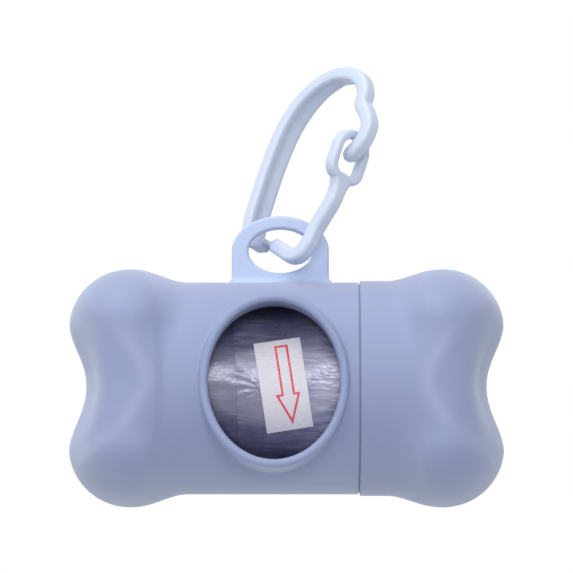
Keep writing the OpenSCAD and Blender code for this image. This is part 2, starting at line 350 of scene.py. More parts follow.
def feed(tree: Tree, node: bpy.types.Node, values: dict[str | int, object]) -> None:
    """Gives inputs of a node their values.

    Args:
        tree: The node's tree.
        node: The node.
        values: For each input, a socket to link, or a number or colour to set.
    """
    for key, value in values.items():
        if isinstance(value, Socket):
            tree.links.new(value, node.inputs[key])
        else:
            node.inputs[key].default_value = value


def add_noise(tree: Tree, vector: Socket, scale: float, detail: float,
              stretch: tuple[float, float, float] = (1, 1, 1)) -> Socket:
    """Adds a noise with its own stretch.

    Args:
        tree: Node tree that gets it.
        vector: Coordinates that it reads.
        scale: Number of cells in one metre.
        detail: Octaves of finer noise.
        stretch: Scale along each axis.

    Returns:
        The socket that gives its value.
    """
    mapping = tree.nodes.new("ShaderNodeMapping")
    feed(tree, mapping, {"Scale": stretch, "Vector": vector})
    noise = tree.nodes.new("ShaderNodeTexNoise")
    feed(tree, noise, {"Scale": scale, "Detail": detail, "Vector": mapping.outputs[0]})
    return noise.outputs["Fac"]


def add_math(tree: Tree, kind: str, *values: float | Socket) -> Socket:
    """Adds one sum.

    Args:
        tree: Node tree that gets it.
        kind: Name of the operation.
        values: Numbers or sockets that it works on.

    Returns:
        The socket that gives the result.
    """
    node = tree.nodes.new("ShaderNodeMath")
    node.operation = kind
    feed(tree, node, dict(enumerate(values)))
    return node.outputs[0]


def add_range(tree: Tree, value: Socket, low: float, high: float, to_low: float | Socket,
              to_high: float | Socket) -> Socket:
    """Maps one range on another.

    Args:
        tree: Node tree that gets the map.
        value: Socket that is mapped.
        low: Low end of its range.
        high: High end of its range.
        to_low: What the low end becomes, a number or a socket.
        to_high: What the high end becomes, a number or a socket.

    Returns:
        The socket that gives the result.
    """
    node = tree.nodes.new("ShaderNodeMapRange")
    feed(tree, node, {"From Min": low, "From Max": high, "To Min": to_low, "To Max": to_high, "Value": value})
    return node.outputs[0]


def add_grey(tree: Tree, level: Socket) -> Socket:
    """Turns a level into a grey.

    Args:
        tree: Node tree that gets it.
        level: Socket of the level.

    Returns:
        The socket that gives the grey.
    """
    grey = tree.nodes.new("ShaderNodeCombineColor")
    feed(tree, grey, {0: level, 1: level, 2: level})
    return grey.outputs[0]


def add_tint(tree: Tree, amount: float | Socket, low: object, high: object, blend: str = "MIX") -> Socket:
    """Mixes two colours by an amount.

    Args:
        tree: Node tree that gets the mix.
        amount: Share of the second colour, a number or a socket.
        low: First colour, as four numbers or a socket.
        high: Second colour, as four numbers or a socket.
        blend: Way of mixing.

    Returns:
        The socket that gives the colour.
    """
    node = tree.nodes.new("ShaderNodeMix")
    node.data_type = "RGBA"
    node.blend_type = blend
    first, second = (i for i, socket in enumerate(node.inputs) if socket.type == "RGBA")
    feed(tree, node, {"Factor": amount, first: low, second: high})
    return next(socket for socket in node.outputs if socket.type == "RGBA")


def add_bump(tree: Tree, skin: bpy.types.Node, height: Socket, strength: float, distance: float) -> None:
    """Gives a finish a bump.

    Args:
        tree: The finish's node tree.
        skin: Its Principled BSDF.
        height: Socket that gives the height.
        strength: Share of the bump that shows.
        distance: Metres that a height of 1 stands for.
    """
    bump = tree.nodes.new("ShaderNodeBump")
    feed(tree, bump, {"Strength": strength, "Distance": distance, "Height": height})
    feed(tree, skin, {"Normal": bump.outputs[0]})


def start_group(name: str, inputs: Sequence[tuple[str, str, object]],
                outputs: Sequence[tuple[str, str]]) -> tuple[Tree, bpy.types.Node, bpy.types.Node]:
    """Starts a node group.

    Args:
        name: Name of the group.
        inputs: Name, socket type and default of each input.
        outputs: Name and socket type of each output.

    Returns:
        The group's tree, its input node and its output node.
    """
    tree = bpy.data.node_groups.new(name, "ShaderNodeTree")
    for label, kind, default in inputs:
        socket = tree.interface.new_socket(name=label, in_out="INPUT", socket_type=kind)
        if default is not None:
            socket.default_value = default
    for label, kind in outputs:
        tree.interface.new_socket(name=label, in_out="OUTPUT", socket_type=kind)
    return tree, tree.nodes.new("NodeGroupInput"), tree.nodes.new("NodeGroupOutput")


def moulded_grain() -> Tree:
    """Builds the fine grain, faint flow marks and worn, smoother spots of moulded plastic, once.

    Returns:
        The group.
    """
    if "moulded grain" in bpy.data.node_groups:
        return bpy.data.node_groups["moulded grain"]
    tree, given, result = start_group(
        "moulded grain",
        [("Vector", "NodeSocketVector", None), ("Tint", "NodeSocketColor", (0.5, 0.5, 0.5, 1)),
         ("Mottle", "NodeSocketFloat", 0.03), ("Roughness", "NodeSocketFloat", 0.5)],
        [("Colour", "NodeSocketColor"), ("Roughness", "NodeSocketFloat"), ("Height", "NodeSocketFloat")])
    where = given.outputs["Vector"]
    flow = add_noise(tree, where, 55, 3, (1, 1, 0.6))
    grain = add_noise(tree, where, 2600, 2)
    scuff = add_noise(tree, where, 240, 6, (0.35, 1, 1))
    depth = add_math(tree, "MULTIPLY", given.outputs["Mottle"], -1.0)
    shade = add_range(tree, flow, 0.3, 0.7, depth, given.outputs["Mottle"])
    speck = add_range(tree, grain, 0.35, 0.65, -0.012, 0.012)
    level = add_math(tree, "ADD", add_math(tree, "ADD", shade, speck), 1.0)
    colour = add_tint(tree, 1.0, given.outputs["Tint"], add_grey(tree, level), "MULTIPLY")
    # Worn spots, which only lower the roughness.
    wear_and_highlight = add_range(tree, scuff, 0.5, 0.75, 0.0, -0.09)
    rough = add_math(tree, "ADD", given.outputs["Roughness"], wear_and_highlight)
    height = add_math(tree, "ADD", grain, add_math(tree, "MULTIPLY", flow, 2.0))
    feed(tree, result, {"Colour": colour, "Roughness": rough, "Height": height})
    return tree


def film_crinkle() -> Tree:
    """Builds the creases, the whitish streaks and a painted highlight of thin wound film, once. It reads (x,
    way round) in metres.

    Returns:
        The group.
    """
    if "film crinkle" in bpy.data.node_groups:
        return bpy.data.node_groups["film crinkle"]
    tree, given, result = start_group(
        "film crinkle",
        [("Vector", "NodeSocketVector", None), ("Dark", "NodeSocketColor", (0.1, 0.1, 0.15, 1)),
         ("Pale", "NodeSocketColor", (0.3, 0.3, 0.4, 1)), ("Creases", "NodeSocketFloat", 1.0)],
        [("Colour", "NodeSocketColor"), ("Roughness", "NodeSocketFloat"), ("Height", "NodeSocketFloat")])
    where = given.outputs["Vector"]
    broad = add_noise(tree, where, 180, 3, (1, 0.35, 1))
    drawn = add_noise(tree, where, 700, 2.6, (0.28, 1.4, 1))
    fine = add_noise(tree, where, 2400, 2, (0.5, 1, 1))
    bent = tree.nodes.new("ShaderNodeMapping")
    feed(tree, bent, {"Scale": (0.45, 1.2, 1), "Vector": where})
    cells = tree.nodes.new("ShaderNodeTexVoronoi")
    cells.feature = "DISTANCE_TO_EDGE"
    feed(tree, cells, {"Scale": 320, "Vector": bent.outputs[0]})
    crease = add_range(tree, cells.outputs["Distance"], 0.0, 0.07, 1.0, 0.0)
    streak = add_range(tree, drawn, 0.42, 0.7, 0.0, 0.55)
    split = tree.nodes.new("ShaderNodeSeparateXYZ")
    feed(tree, split, {0: where})
    # Painted highlight: from 1 mm to 7 mm along the roll and beyond, the drawn streaks are painted paler,
    # standing in for the broader highlight on that side; the same share also deepens the creases there.
    highlight_and_crease_side = add_range(tree, split.outputs["X"], 0.001, 0.007, 0.0, 1.0)
    milk_and_highlight = add_math(tree, "MULTIPLY", add_range(tree, broad, 0.35, 0.7, 0.0, 1.0), streak)
    # The random whitish streaks, with the painted highlight added on the +x side.
    milk_and_highlight = add_math(tree, "ADD", milk_and_highlight, add_math(tree, "MULTIPLY", highlight_and_crease_side, drawn))
    colour = add_tint(tree, milk_and_highlight, given.outputs["Dark"], given.outputs["Pale"])
    rough = add_range(tree, fine, 0.3, 0.7, 0.26, 0.42)
    busy = add_math(tree, "MULTIPLY", given.outputs["Creases"], add_math(tree, "ADD", highlight_and_crease_side, 1.0))
    marks = add_math(tree, "ADD", add_math(tree, "MULTIPLY", crease, 0.14), drawn)
    height = add_math(tree, "ADD", add_math(tree, "MULTIPLY", marks, busy),
                      add_math(tree, "MULTIPLY", fine, 0.07))
    feed(tree, result, {"Colour": colour, "Roughness": rough, "Height": height})
    return tree


def place_group(tree: Tree, group: Tree, values: dict[str, object]) -> bpy.types.Node:
    """Puts a node group into a material with its own values.

    Args:
        tree: The material's node tree.
        group: The group.
        values: A number, a colour or a socket for each input by name.

    Returns:
        The group's node.
    """
    node = tree.nodes.new("ShaderNodeGroup")
    node.node_tree = group
    feed(tree, node, values)
    return node


@dataclass(frozen=True)
class MouldedPlastic:
    """Matte moulded plastic in one colour."""

    name: str
    tint: tuple[float, float, float]
    roughness: float = 0.5
    mottle: float = 0.02
    sheen: float = 0.12
    bump: float = 0.35
    # Share of the painted highlight along the ridges marked on the piece.
    wear_and_highlight: float = 0.0

    def make(self) -> bpy.types.Material:
        """Builds the material.

        Returns:
            The material.
        """
        material, tree, skin = new_material(self.name)
        where = tree.nodes.new("ShaderNodeTexCoord").outputs["Object"]
        grain = place_group(tree, moulded_grain(), {"Vector": where, "Tint": (*self.tint, 1),
                                                    "Mottle": self.mottle, "Roughness": self.roughness})
        colour = grain.outputs["Colour"]
        if self.wear_and_highlight:
            # Painted highlight: the marked ridges are painted a paler pinkish tint that stands in for the
            # light their edges catch.
            marks = tree.nodes.new("ShaderNodeAttribute")
            marks.attribute_name = "wear_and_highlight"
            share = add_math(tree, "MULTIPLY", marks.outputs["Fac"], self.wear_and_highlight)
            colour = add_tint(tree, share, colour, (0.62, 0.56, 0.72, 1))
        feed(tree, skin, {"Base Color": colour, "Roughness": grain.outputs["Roughness"], "IOR": 1.47,
                          "Sheen Weight": self.sheen, "Sheen Roughness": 0.6,
                          "Sheen Tint": (0.85, 0.9, 1.0, 1)})
        add_bump(tree, skin, grain.outputs["Height"], self.bump, 0.00002)
        return material


@dataclass(frozen=True)
class WoundFilm:
    """Thin glossy film, with its creases in the piece's own UV map."""

    name: str
    dark: tuple[float, float, float]
    pale: tuple[float, float, float]
    creases: float = 1.0
    bump: float = 0.6
    gloss: float = 1.0

    def make(self) -> bpy.types.Material:
        """Builds the material.

        Returns:
            The material.
        """
        material, tree, skin = new_material(self.name)
        where = tree.nodes.new("ShaderNodeUVMap")
        where.uv_map = "way"
        film = place_group(tree, film_crinkle(), {"Vector": where.outputs[0], "Dark": (*self.dark, 1),
                                                  "Pale": (*self.pale, 1), "Creases": self.creases})
        feed(tree, skin, {"Base Color": film.outputs["Colour"], "Roughness": film.outputs["Roughness"],
                          "IOR": 1.7 + 0.5 * self.gloss, "Specular Tint": (0.78, 0.8, 1.0, 1),
                          "Coat Weight": 0.4 * self.gloss, "Coat Roughness": 0.24})
        add_bump(tree, skin, film.outputs["Height"], self.bump, 0.00012)
        return material


@dataclass(frozen=True)
class FibreBoard:
    """Paper or card with its fibres."""

    name: str
    light: tuple[float, float, float]
    dark: tuple[float, float, float]
    fibre: float = 1500.0
    roughness: float = 0.8

    def make(self) -> bpy.types.Material:
        """Builds the material.

        Returns:
            The material.
        """
        material, tree, skin = new_material(self.name)
        where = tree.nodes.new("ShaderNodeTexCoord").outputs["Object"]
        fibres = add_noise(tree, where, self.fibre, 4, (0.3, 1, 1))
        cloud = add_noise(tree, where, self.fibre * 0.12, 2)
        share = add_range(tree, add_math(tree, "ADD", add_math(tree, "MULTIPLY", fibres, 0.7),
                                         add_math(tree, "MULTIPLY", cloud, 0.3)), 0.35, 0.65, 0.0, 1.0)
        rough = add_range(tree, fibres, 0.3, 0.7, self.roughness - 0.08, self.roughness + 0.05)
        colour = add_tint(tree, share, (*self.dark, 1), (*self.light, 1))
        feed(tree, skin, {"Base Color": colour, "Roughness": rough})
        add_bump(tree, skin, fibres, 0.4, 0.00002)
        return material


@dataclass(frozen=True)
class PrintedInk:
    """Thin ink that lets a little of the paper's fibres show."""

    name: str
    tint: tuple[float, float, float]
    worn: tuple[float, float, float]

    def make(self) -> bpy.types.Material:
        """Builds the material.

        Returns:
            The material.
        """
        material, tree, skin = new_material(self.name)
        where = tree.nodes.new("ShaderNodeTexCoord").outputs["Object"]
        spots = add_noise(tree, where, 2200, 3)
        share = add_range(tree, spots, 0.5, 0.72, 0.0, 0.8)
        colour = add_tint(tree, share, (*self.tint, 1), (*self.worn, 1))
        feed(tree, skin, {"Base Color": colour, "Roughness": add_range(tree, spots, 0.3, 0.7, 0.5, 0.65)})
        return material


Finish = MouldedPlastic | WoundFilm | FibreBoard | PrintedInk


# The body's plastic carries the painted highlight along the bone's ridges.
BODY_PLASTIC = MouldedPlastic("pale blue matte plastic", (0.228, 0.276, 0.452), roughness=0.58, mottle=0.018,
                              sheen=0.5, wear_and_highlight=0.13)
# Painted light: the lug's plastic is the body's plastic painted much paler, standing in for light that shines
# through the thin lug.
PAINTED_LIGHT_PLASTIC = MouldedPlastic("pale blue plastic, thin and lit through", (0.45, 0.54, 0.75), mottle=0.018)
RIM_PLASTIC = MouldedPlastic("pale blue matte plastic of the collar", (0.245, 0.297, 0.475), roughness=0.52,
                             mottle=0.018, sheen=0.03)
CLIP_PLASTIC = MouldedPlastic("paler blue satin plastic", (0.53, 0.6, 0.73), roughness=0.42, mottle=0.014,
                              sheen=0.06, bump=0.25)
ROLL_FILM = WoundFilm("slate violet wound film", dark=(0.075, 0.071, 0.125), pale=(0.24, 0.23, 0.33),
                      creases=0.8, gloss=0.7)
LOOSE_FILM = WoundFilm("slate violet loose film", dark=(0.08, 0.076, 0.135), pale=(0.34, 0.33, 0.46),
                       gloss=0.85)
CARD = FibreBoard("grey brown card", light=(0.42, 0.32, 0.22), dark=(0.3, 0.22, 0.14), fibre=900)
PAPER = FibreBoard("white paper", light=(0.71, 0.69, 0.74), dark=(0.64, 0.62, 0.68), fibre=2200,
                   roughness=0.7)
RED_INK = PrintedInk("red ink", tint=(0.66, 0.045, 0.07), worn=(0.76, 0.3, 0.32))


# Bench

@dataclass
class Bench:
    """Turns shapes drawn round the bone's middle, in millimetres, into finished pieces."""

    middle: Vector
    materials: dict[str, bpy.types.Material] = field(default_factory=dict)

    def material(self, finish: Finish) -> bpy.types.Material:
        """Makes a finish once.

        Args:
            finish: The finish.

        Returns:
            Its material.
        """
        if finish.name not in self.materials:
            self.materials[finish.name] = finish.make()
        return self.materials[finish.name]

    def finish(self, bm: Shape, name: str, finish: Finish, rider: Rider | None, slot: str,
               node: str = "", sharp: float = 35.0) -> bpy.types.Object:
        """Makes a piece of a shape.

        Args:
            bm: The shape, which is used up.
            name: Name of the piece.
            finish: Finish that dresses it.
            rider: Body that it rides on, or None where the caller sees to it.
            slot: Material slot of the record. Not used.
            node: Node of the frame that it stands for, if any.
            sharp: Angle in degrees past which an edge stays sharp.

        Returns:
            The piece.
        """
        bm.transform(Matrix.Translation(self.middle) @ Matrix.Scale(MM, 4))
        mesh = bpy.data.meshes.new(name)
        for face in bm.faces:
            face.smooth = True
        bm.to_mesh(mesh)
        bm.free()
        mesh.set_sharp_from_angle(angle=math.radians(sharp))
        mesh.materials.append(self.material(finish))
        piece = new_object(name, mesh)
        if rider is not None:
            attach(piece, rider.value)
        if node:
            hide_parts(node)
        carrier = rider.value if rider else "two bodies"
        log.info("%s: %d faces, rides on %s", name, len(mesh.polygons), carrier)
        return piece

    def spot(self, point: Sequence[float]) -> Vector:
        """Place in metres of a point drawn round the bone's middle."""
        return self.middle + Vector(point) * MM


# Bone

@dataclass(frozen=True)
class BoneEnd:
    """A bone's end, with x outwards: two lobes, a notch, and a valley between them in front and behind."""

    lobe_x: float = 30.3
    lobe_lift: float = 11.5
    lobe_half: tuple[float, float, float] = (12.0, 21.0, 11.6)
    lobe_blend: float = 2.6
    notch_x: float = 38.9
    notch_r: float = 10.4
    notch_blend: float = 4.5
    core_end_x: float = 39.2
    core_round: float = 7.5
    ridge_x: float = 26.8
    ridge_slope: float = 0.26
    ridge_bow: float = 0.036
    # Width of the painted highlight along the ridge.
    ridge_highlight_width: float = 1.4
    valley_fall: float = 0.22
    valley_round: float = 1.0
    shoulder_x: float = 23.2
    shoulder_rise: float = 0.5
    shoulder_bow: float = 0.0055
    shoulder_run: float = 2.2
    ray_x: float = 25.3
    cap_far: float = 100.0
    flank_far: float = 60.0
    flank_steps: int = 26

    @staticmethod
    def ellipsoid_gap(v: np.ndarray, r: Sequence[float]) -> np.ndarray:
        """Works out nearly the distance to an ellipsoid round the origin.

        Args:
            v: Points, one a row.
            r: Half-axes of the ellipsoid.

        Returns:
            One distance a point, below zero inside.
        """
        a = v / np.array(r)
        k0 = np.linalg.norm(a, axis=1) + 1e-9
        k1 = np.linalg.norm(a / np.array(r), axis=1) + 1e-9
        return k0 * (k0 - 1) / k1

    def gap(self, p: np.ndarray, r: float) -> np.ndarray:
        """Distance from points to the end's skin, on a barrel of radius r.

        Args:
            p: Points, one a row.
            r: Radius of the barrel.

        Returns:
            One distance a point, below zero inside.
        """
        x, y, z = p.T
        rise = np.maximum(np.abs(z) - self.lobe_lift, 0)
        lobes = self.ellipsoid_gap(np.column_stack([x - self.lobe_x, y, rise]), self.lobe_half)
        radial = np.hypot(y, z) - (r - self.core_round)
        along = x - self.core_end_x + self.core_round
        barrel = (np.minimum(np.maximum(radial, along), 0)
                  + np.hypot(np.maximum(radial, 0), np.maximum(along, 0)) - self.core_round)
        past = x - self.notch_x
        notch = np.where(past < self.notch_r, np.hypot(past - self.notch_r, z), np.abs(z)) - self.notch_r
        solid = soft_max(soft_min(lobes, barrel, self.lobe_blend), -notch, self.notch_blend)
        facing = ease((np.abs(y) - 4) / 12)
        past_shoulder = x - self.shoulder_x - self.shoulder_bow * z * z
        shoulder = self.shoulder_rise * ease(past_shoulder / self.shoulder_run)
        valley = self.valley_fall * soft_max(x - self.ridge(z), np.zeros(len(x)), self.valley_round)
        return solid + facing * (valley - shoulder)

    def ridge(self, z: np.ndarray) -> np.ndarray:
        """Place along the bone of the ridge round the valley, at a height."""
        return self.ridge_x + self.ridge_slope * (np.hypot(z, 1.0) - 1.0) + self.ridge_bow * z * z

    def wear_and_highlight(self, co: np.ndarray) -> np.ndarray:
        """Works out how strongly the ridge round the valley is painted paler, a painted highlight along its
        edge.

        Args:
            co: Points, one a row.

        Returns:
            A share from 0 to 1 for each point.
        """
        x, y, z = np.abs(co).T
        off = (x - self.ridge(z)) / np.hypot(1.0, self.ridge_slope + 2 * self.ridge_bow * z)
        return np.exp(-(off / self.ridge_highlight_width) ** 2) * ease((y - 8) / 6) * (1 - 0.75 * ease((z - 6) / 8))

    def reach(self, start: np.ndarray, way: np.ndarray, r: float, low: float, high: float) -> np.ndarray:
        """Points where rays from inside meet the skin, found by halving.

        Args:
            start: Where the rays start, one a row.
            way: Their unit directions.
            r: Radius of the barrel.
            low: A length that is inside.
            high: A length that is outside.

        Returns:
            The points, one a row.
        """
        lo, hi = np.full(len(way), low), np.full(len(way), high)
        for _ in range(30):
            mid = (lo + hi) / 2
            inside = self.gap(start + way * mid[:, None], r) < 0
            lo, hi = np.where(inside, mid, lo), np.where(inside, hi, mid)
        return start + way * lo[:, None]

    def settle(self, co: np.ndarray, r: float) -> np.ndarray:
        """Moves the far placeholder points of a spun end onto its skin.

        Args:
            co: All points. The cap's lie cap_far from the rays' middle, and the flank's lie flank_far from
                the axis.
            r: Radius of the barrel.

        Returns:
            The points in place.
        """
        out = co.copy()
        middle = np.array([self.ray_x, 0.0, 0.0])
        cap = np.linalg.norm(co - middle, axis=1) > self.cap_far - 5
        way = (co[cap] - middle) / self.cap_far
        out[cap] = self.reach(np.tile(middle, (cap.sum(), 1)), way, r, 5, 45)
        flank = ~cap & (np.hypot(co[:, 1], co[:, 2]) > self.flank_far - 5)
        way = co[flank] * [0, 1, 1] / self.flank_far
        out[flank] = self.reach(co[flank] * [1, 0, 0], way, r, 12, 32)
        return out

    def outline(self, rings: int, last_x: float) -> list[tuple[float, float]]:
        """Lists placeholder points of the end's profile, from its pole back to the plain barrel.

        Args:
            rings: Number of points on the cap.
            last_x: Where the plain barrel begins.

        Returns:
            Points (x, radius).
        """
        cap = [(self.ray_x + self.cap_far * math.cos(a), self.cap_far * math.sin(a))
               for a in (0.5 * math.pi * i / rings for i in range(rings))]
        return cap + [(mix(self.ray_x, last_x, i / self.flank_steps), self.flank_far)
                      for i in range(self.flank_steps + 1)]


@dataclass
class Barrel:
    """The body of the bone: barrel, one end, window collar, lug, threaded neck and spigot."""

    radius: float = 20.6
    bore: float = 17.8
    seam_x: float = 14.0
    neck_r: float = 18.9
    neck_len: float = 8.0
    wall_x: float = 30.0
    window_x: float = -2.4
    window: tuple[float, float] = (12.7, 15.1)
    bead: float = 1.7
    collar_front: float = 21.9
    collar_foot: float = 8.0
    collar_flare: float = 1.0
    fillet: float = 0.6
    lug_x: float = -1.2
    lug_half: float = 9.45
    lug_t: float = 3.0
    lug_top: float = 33.6
    hole_z: float = 26.8
    hole: tuple[float, float] = (6.2, 4.3)
    lug_root: float = 19.2
    lug_fillet: float = 1.3
    thread_rise: float = 0.6
    thread_lead: float = 4.0
    sides: int = 216
    rings: int = 84
    end: BoneEnd = field(default_factory=BoneEnd)

    def skin(self) -> Shape:
        """Spins the barrel with its bore, settles the shaped end and cuts the window.

        Returns:
            The barrel, with the painted highlight along its ridge marked.
        """
        seam, neck_end = -self.seam_x, -self.seam_x - self.neck_len
        lip, neck_lip, bore_lip, corner = 0.22, 0.4, 0.25, 1.0
        profile = self.end.outline(self.rings, 15.0)
        profile += [(x, self.radius) for x in np.arange(14.0, seam + 0.5, -1.0)]
        profile += arc((seam + lip, self.radius - lip), lip, 90, 180, 4)
        profile += [(seam, self.radius - 0.4), (seam - 0.2, self.radius - 0.4),
                    (seam - 0.24, self.neck_r + 0.3), (seam - 0.5, self.neck_r)]
        profile += arc((neck_end + neck_lip, self.neck_r - neck_lip), neck_lip, 90, 180, 3)
        profile += arc((neck_end + bore_lip, self.bore + bore_lip), bore_lip, 180, 270, 2)
        profile += [(x, self.bore) for x in np.arange(neck_end + 1.5, self.wall_x - 1.2, 1.5)]
        profile += arc((self.wall_x - corner, self.bore - corner), corner, 90, 0, 4) + [(self.wall_x, 0.0)]
        bm = spun(profile, self.sides)
        move_verts(bm, lambda co: self.end.settle(co, self.radius))
        bm = cut_out(mirrored(bm), self.window_plug())
        # Marks where the painted highlight along the ridge lies.
        mark_verts(bm, "wear_and_highlight", self.end.wear_and_highlight)
        return bm

    def window_plug(self) -> Shape:
        """Extrudes the prism that is cut out for the window. Its edge ends inside the collar's wall.

        Returns:
            The prism.
        """
        plug = bmesh.new()
        made = bmesh.ops.create_circle(plug, cap_ends=True, segments=96, radius=1.0)
        half, front, depth = self.bead / 2, -25, 20.5
        bmesh.ops.scale(plug, vec=(self.window[0] + half, self.window[1] + half, 1), verts=made["verts"])
        bmesh.ops.rotate(plug, cent=(0, 0, 0), matrix=UPRIGHT, verts=plug.verts[:])
        bmesh.ops.translate(plug, vec=(self.window_x, front, 0), verts=plug.verts[:])
        deep = bmesh.ops.extrude_face_region(plug, geom=plug.faces[:])["geom"]
        far = [g for g in deep if isinstance(g, bmesh.types.BMVert)]
        bmesh.ops.translate(plug, vec=(0, depth, 0), verts=far)
        bmesh.ops.recalc_face_normals(plug, faces=plug.faces[:])
        return plug

    def rim_point(self, out: float, depth: float, angle: float) -> np.ndarray:
        """Point of the collar so far outside the window's edge, so far in front of the axis, at an angle."""
        return np.array([self.window_x + (self.window[0] + out) * math.cos(angle), -depth,
                         (self.window[1] + out) * math.sin(angle)])

    def wall_out(self, depth: float) -> float:
        """How far the collar's flared wall stands outside the window's edge at a depth."""
        high = self.collar_front - self.bead / 2
        return self.bead + self.collar_flare * (high - depth) / (high + self.collar_foot)

    def crease_depth(self, angle: float) -> float:
        """Finds where the collar's flared wall meets the barrel.

        Args:
            angle: Angle round the window.

        Returns:
            The depth in front of the axis.
        """
        low, high = 2.0, self.collar_front
        for _ in range(40):
            mid = (low + high) / 2
            z = (self.window[1] + self.wall_out(mid)) * math.sin(angle)
            low, high = (low, mid) if mid * mid + z * z > self.radius ** 2 else (mid, high)
        return low

    def collar_ring(self, angle: float) -> np.ndarray:
        """Lists the collar's section: inner wall, bead, flared wall and a fillet onto the barrel.

        Args:
            angle: Angle round the window.

        Returns:
            The points, one a row.
        """
        half = self.bead / 2
        high = self.collar_front - half
        foot = self.bore_depth(0, angle, 0.02)
        rows = [self.rim_point(0, foot + (high - 1 - foot) * i / 3, angle) for i in range(4)]
        rows += [self.rim_point(half - half * math.cos(a), high + half * math.sin(a), angle)
                 for a in (math.pi * i / 12 for i in range(13))]
        crease = self.crease_depth(angle)
        rise = min(self.fillet, 0.7 * (high - crease) + 0.22)
        top = crease + rise
        steps = ((high - 0.3, (high + top) / 2) if top < high - 0.6
                 else (high - (high - top) * 0.33, high - (high - top) * 0.66))
        rows += [self.rim_point(self.wall_out(d), d, angle) for d in steps]
        first = self.rim_point(self.wall_out(top), top, angle)
        crown = self.rim_point(self.wall_out(crease), crease, angle)
        spread = self.wall_out(crease) + self.fillet * 1.15
        last = self.on_barrel(spread, angle, 0.012)
        rows += [first * (1 - t) ** 2 + crown * 2 * t * (1 - t) + last * t * t
                 for t in (i / 8 for i in range(9))]
        rows.append(self.on_barrel(spread, angle, -0.8))
        rows.append(self.rim_point(self.bead * 0.75, self.bore_depth(self.bead * 0.75, angle, 0.3), angle))
        return np.array(rows)

    def bore_depth(self, out: float, angle: float, outside: float) -> float:
        """Depth at which a line of the collar reaches the bore, or ends so far outside it."""
        r = self.bore + outside
        return math.sqrt(max(r * r - ((self.window[1] + out) * math.sin(angle)) ** 2, 1.0))

    def on_barrel(self, out: float, angle: float, proud: float) -> np.ndarray:
        """Finds a point of the collar's foot on the barrel.

        Args:
            out: How far outside the window's edge it lies.
            angle: Angle round the window.
            proud: How far it stands proud of the barrel.

        Returns:
            The point.
        """
        spot = self.rim_point(out, 0, angle)
        r = self.radius + proud
        return np.array([spot[0], -math.sqrt(max(r * r - spot[2] ** 2, 1.0)), spot[2]])

    def collar(self) -> Shape:
        """Sweeps the collar's section round the window."""
        turns = 160
        return swept([self.collar_ring(2 * math.pi * k / turns) for k in range(turns)], closed=True)

    def lug_reach(self, angle: float) -> float:
        """Measures from the hole's middle to the lug's outline, which flares at its foot.

        Args:
            angle: Direction in the lug's plane.

        Returns:
            The distance.
        """
        c, s = math.cos(angle), math.sin(angle)
        rise = self.lug_top - self.hole_z
        if s >= 0:
            return 1 / math.sqrt((c / self.lug_half) ** 2 + (s / rise) ** 2)
        foot, steps = self.hole_z - self.lug_root, 59
        for i in range(steps + 1):
            z = -foot * i / steps
            over = self.hole_z + z - self.radius + 0.35
            flare = self.lug_fillet * (1 - ease((over + 0.4) / 2.2)) ** 2
            reach = (self.lug_half + flare) / max(abs(c), 1e-6)
            if abs(-s * reach + z) < foot / steps * 0.75:
                return min(foot / -s, reach)
        return foot / -s

    def lug(self) -> Shape:
        """Sweeps the lug's rounded section round its hole, and widens its foot where it meets the barrel.

        Returns:
            The lug.
        """
        turns, half, edge, inner = 240, self.lug_t / 2, 0.45, 0.7
        rings = []
        for k in range(turns):
            a = 2 * math.pi * (k + 0.5) / turns
            c, s = math.cos(a), math.sin(a)
            near = math.hypot(self.hole[0] * c, self.hole[1] * s)
            start = np.array([self.hole[0] * c, self.hole[1] * s])
            tip = self.lug_reach(math.atan2(start[1], start[0]))
            way = start / near
            span = tip - near
            rows = [(edge + (span - 2 * edge) * i / 14, -half) for i in range(15)]
            rows += [(span - edge + edge * math.sin(q), -half + edge - edge * math.cos(q))
                     for q in (math.pi / 8 * i for i in range(1, 5))]
            rows += [(x, -y) for x, y in reversed(rows)]
            rows += [(inner - inner * math.sin(q), half - inner + inner * math.cos(q))
                     for q in (math.pi / 8 * i for i in range(2, 5))]
            rows += [(x, -y) for x, y in reversed(rows[-3:])]
            ring = [(self.lug_x + way[0] * (near + t), y, self.hole_z + way[1] * (near + t)) for t, y in rows]
            rings.append(np.array(ring))
        bm = swept(rings, closed=True)
        move_verts(bm, self.widen_foot)
        return bm

    def widen_foot(self, co: np.ndarray) -> np.ndarray:
        """Widens the lug's foot in a round, front and back.

        Args:
            co: Points of the lug, one a row.

        Returns:
            The points in place.
        """
        out = co.copy()
        round_r = self.lug_fillet
        over = np.clip(np.hypot(co[:, 1], co[:, 2]) - self.radius, 0, round_r)
        near = co[:, 2] < self.radius + round_r
        push = round_r - np.sqrt(np.maximum(round_r ** 2 - (round_r - over) ** 2, 0))
        out[near, 1] += (np.sign(co[:, 1]) * push * np.minimum(np.abs(co[:, 1]) / (self.lug_t / 2), 1))[near]
        return out

    def thread(self, foot: float, crest: float, start: float) -> Shape:
        """Sweeps a screw thread's rib.

        Args:
            foot: Radius at the rib's foot.
            crest: Radius at its crest.
            start: Where its middle starts along the bone.

        Returns:
            The rib, its ends run down to the foot.
        """
        turns, width, shoulder, crown, steps = 1.1, 1.5, 0.42, 0.26, 110
        bite = math.copysign(0.3, foot - crest)
        rings = []
        for i in range(steps + 1):
            a = 2 * math.pi * turns * i / steps
            x = start + self.thread_lead * a / (2 * math.pi)
            top = foot + (crest - foot) * max(float(ease(min(i, steps - i) / 7)), 0.05)
            half = [(-width / 2, foot + bite), (-width / 2, foot), (-shoulder, mix(foot, top, 0.8)),
                    (-crown, top)]
            shape = half + [(-s, r) for s, r in reversed(half)]
            rings.append(np.array([(x + s, r * math.cos(a), r * math.sin(a)) for s, r in shape]))
        return swept(rings)

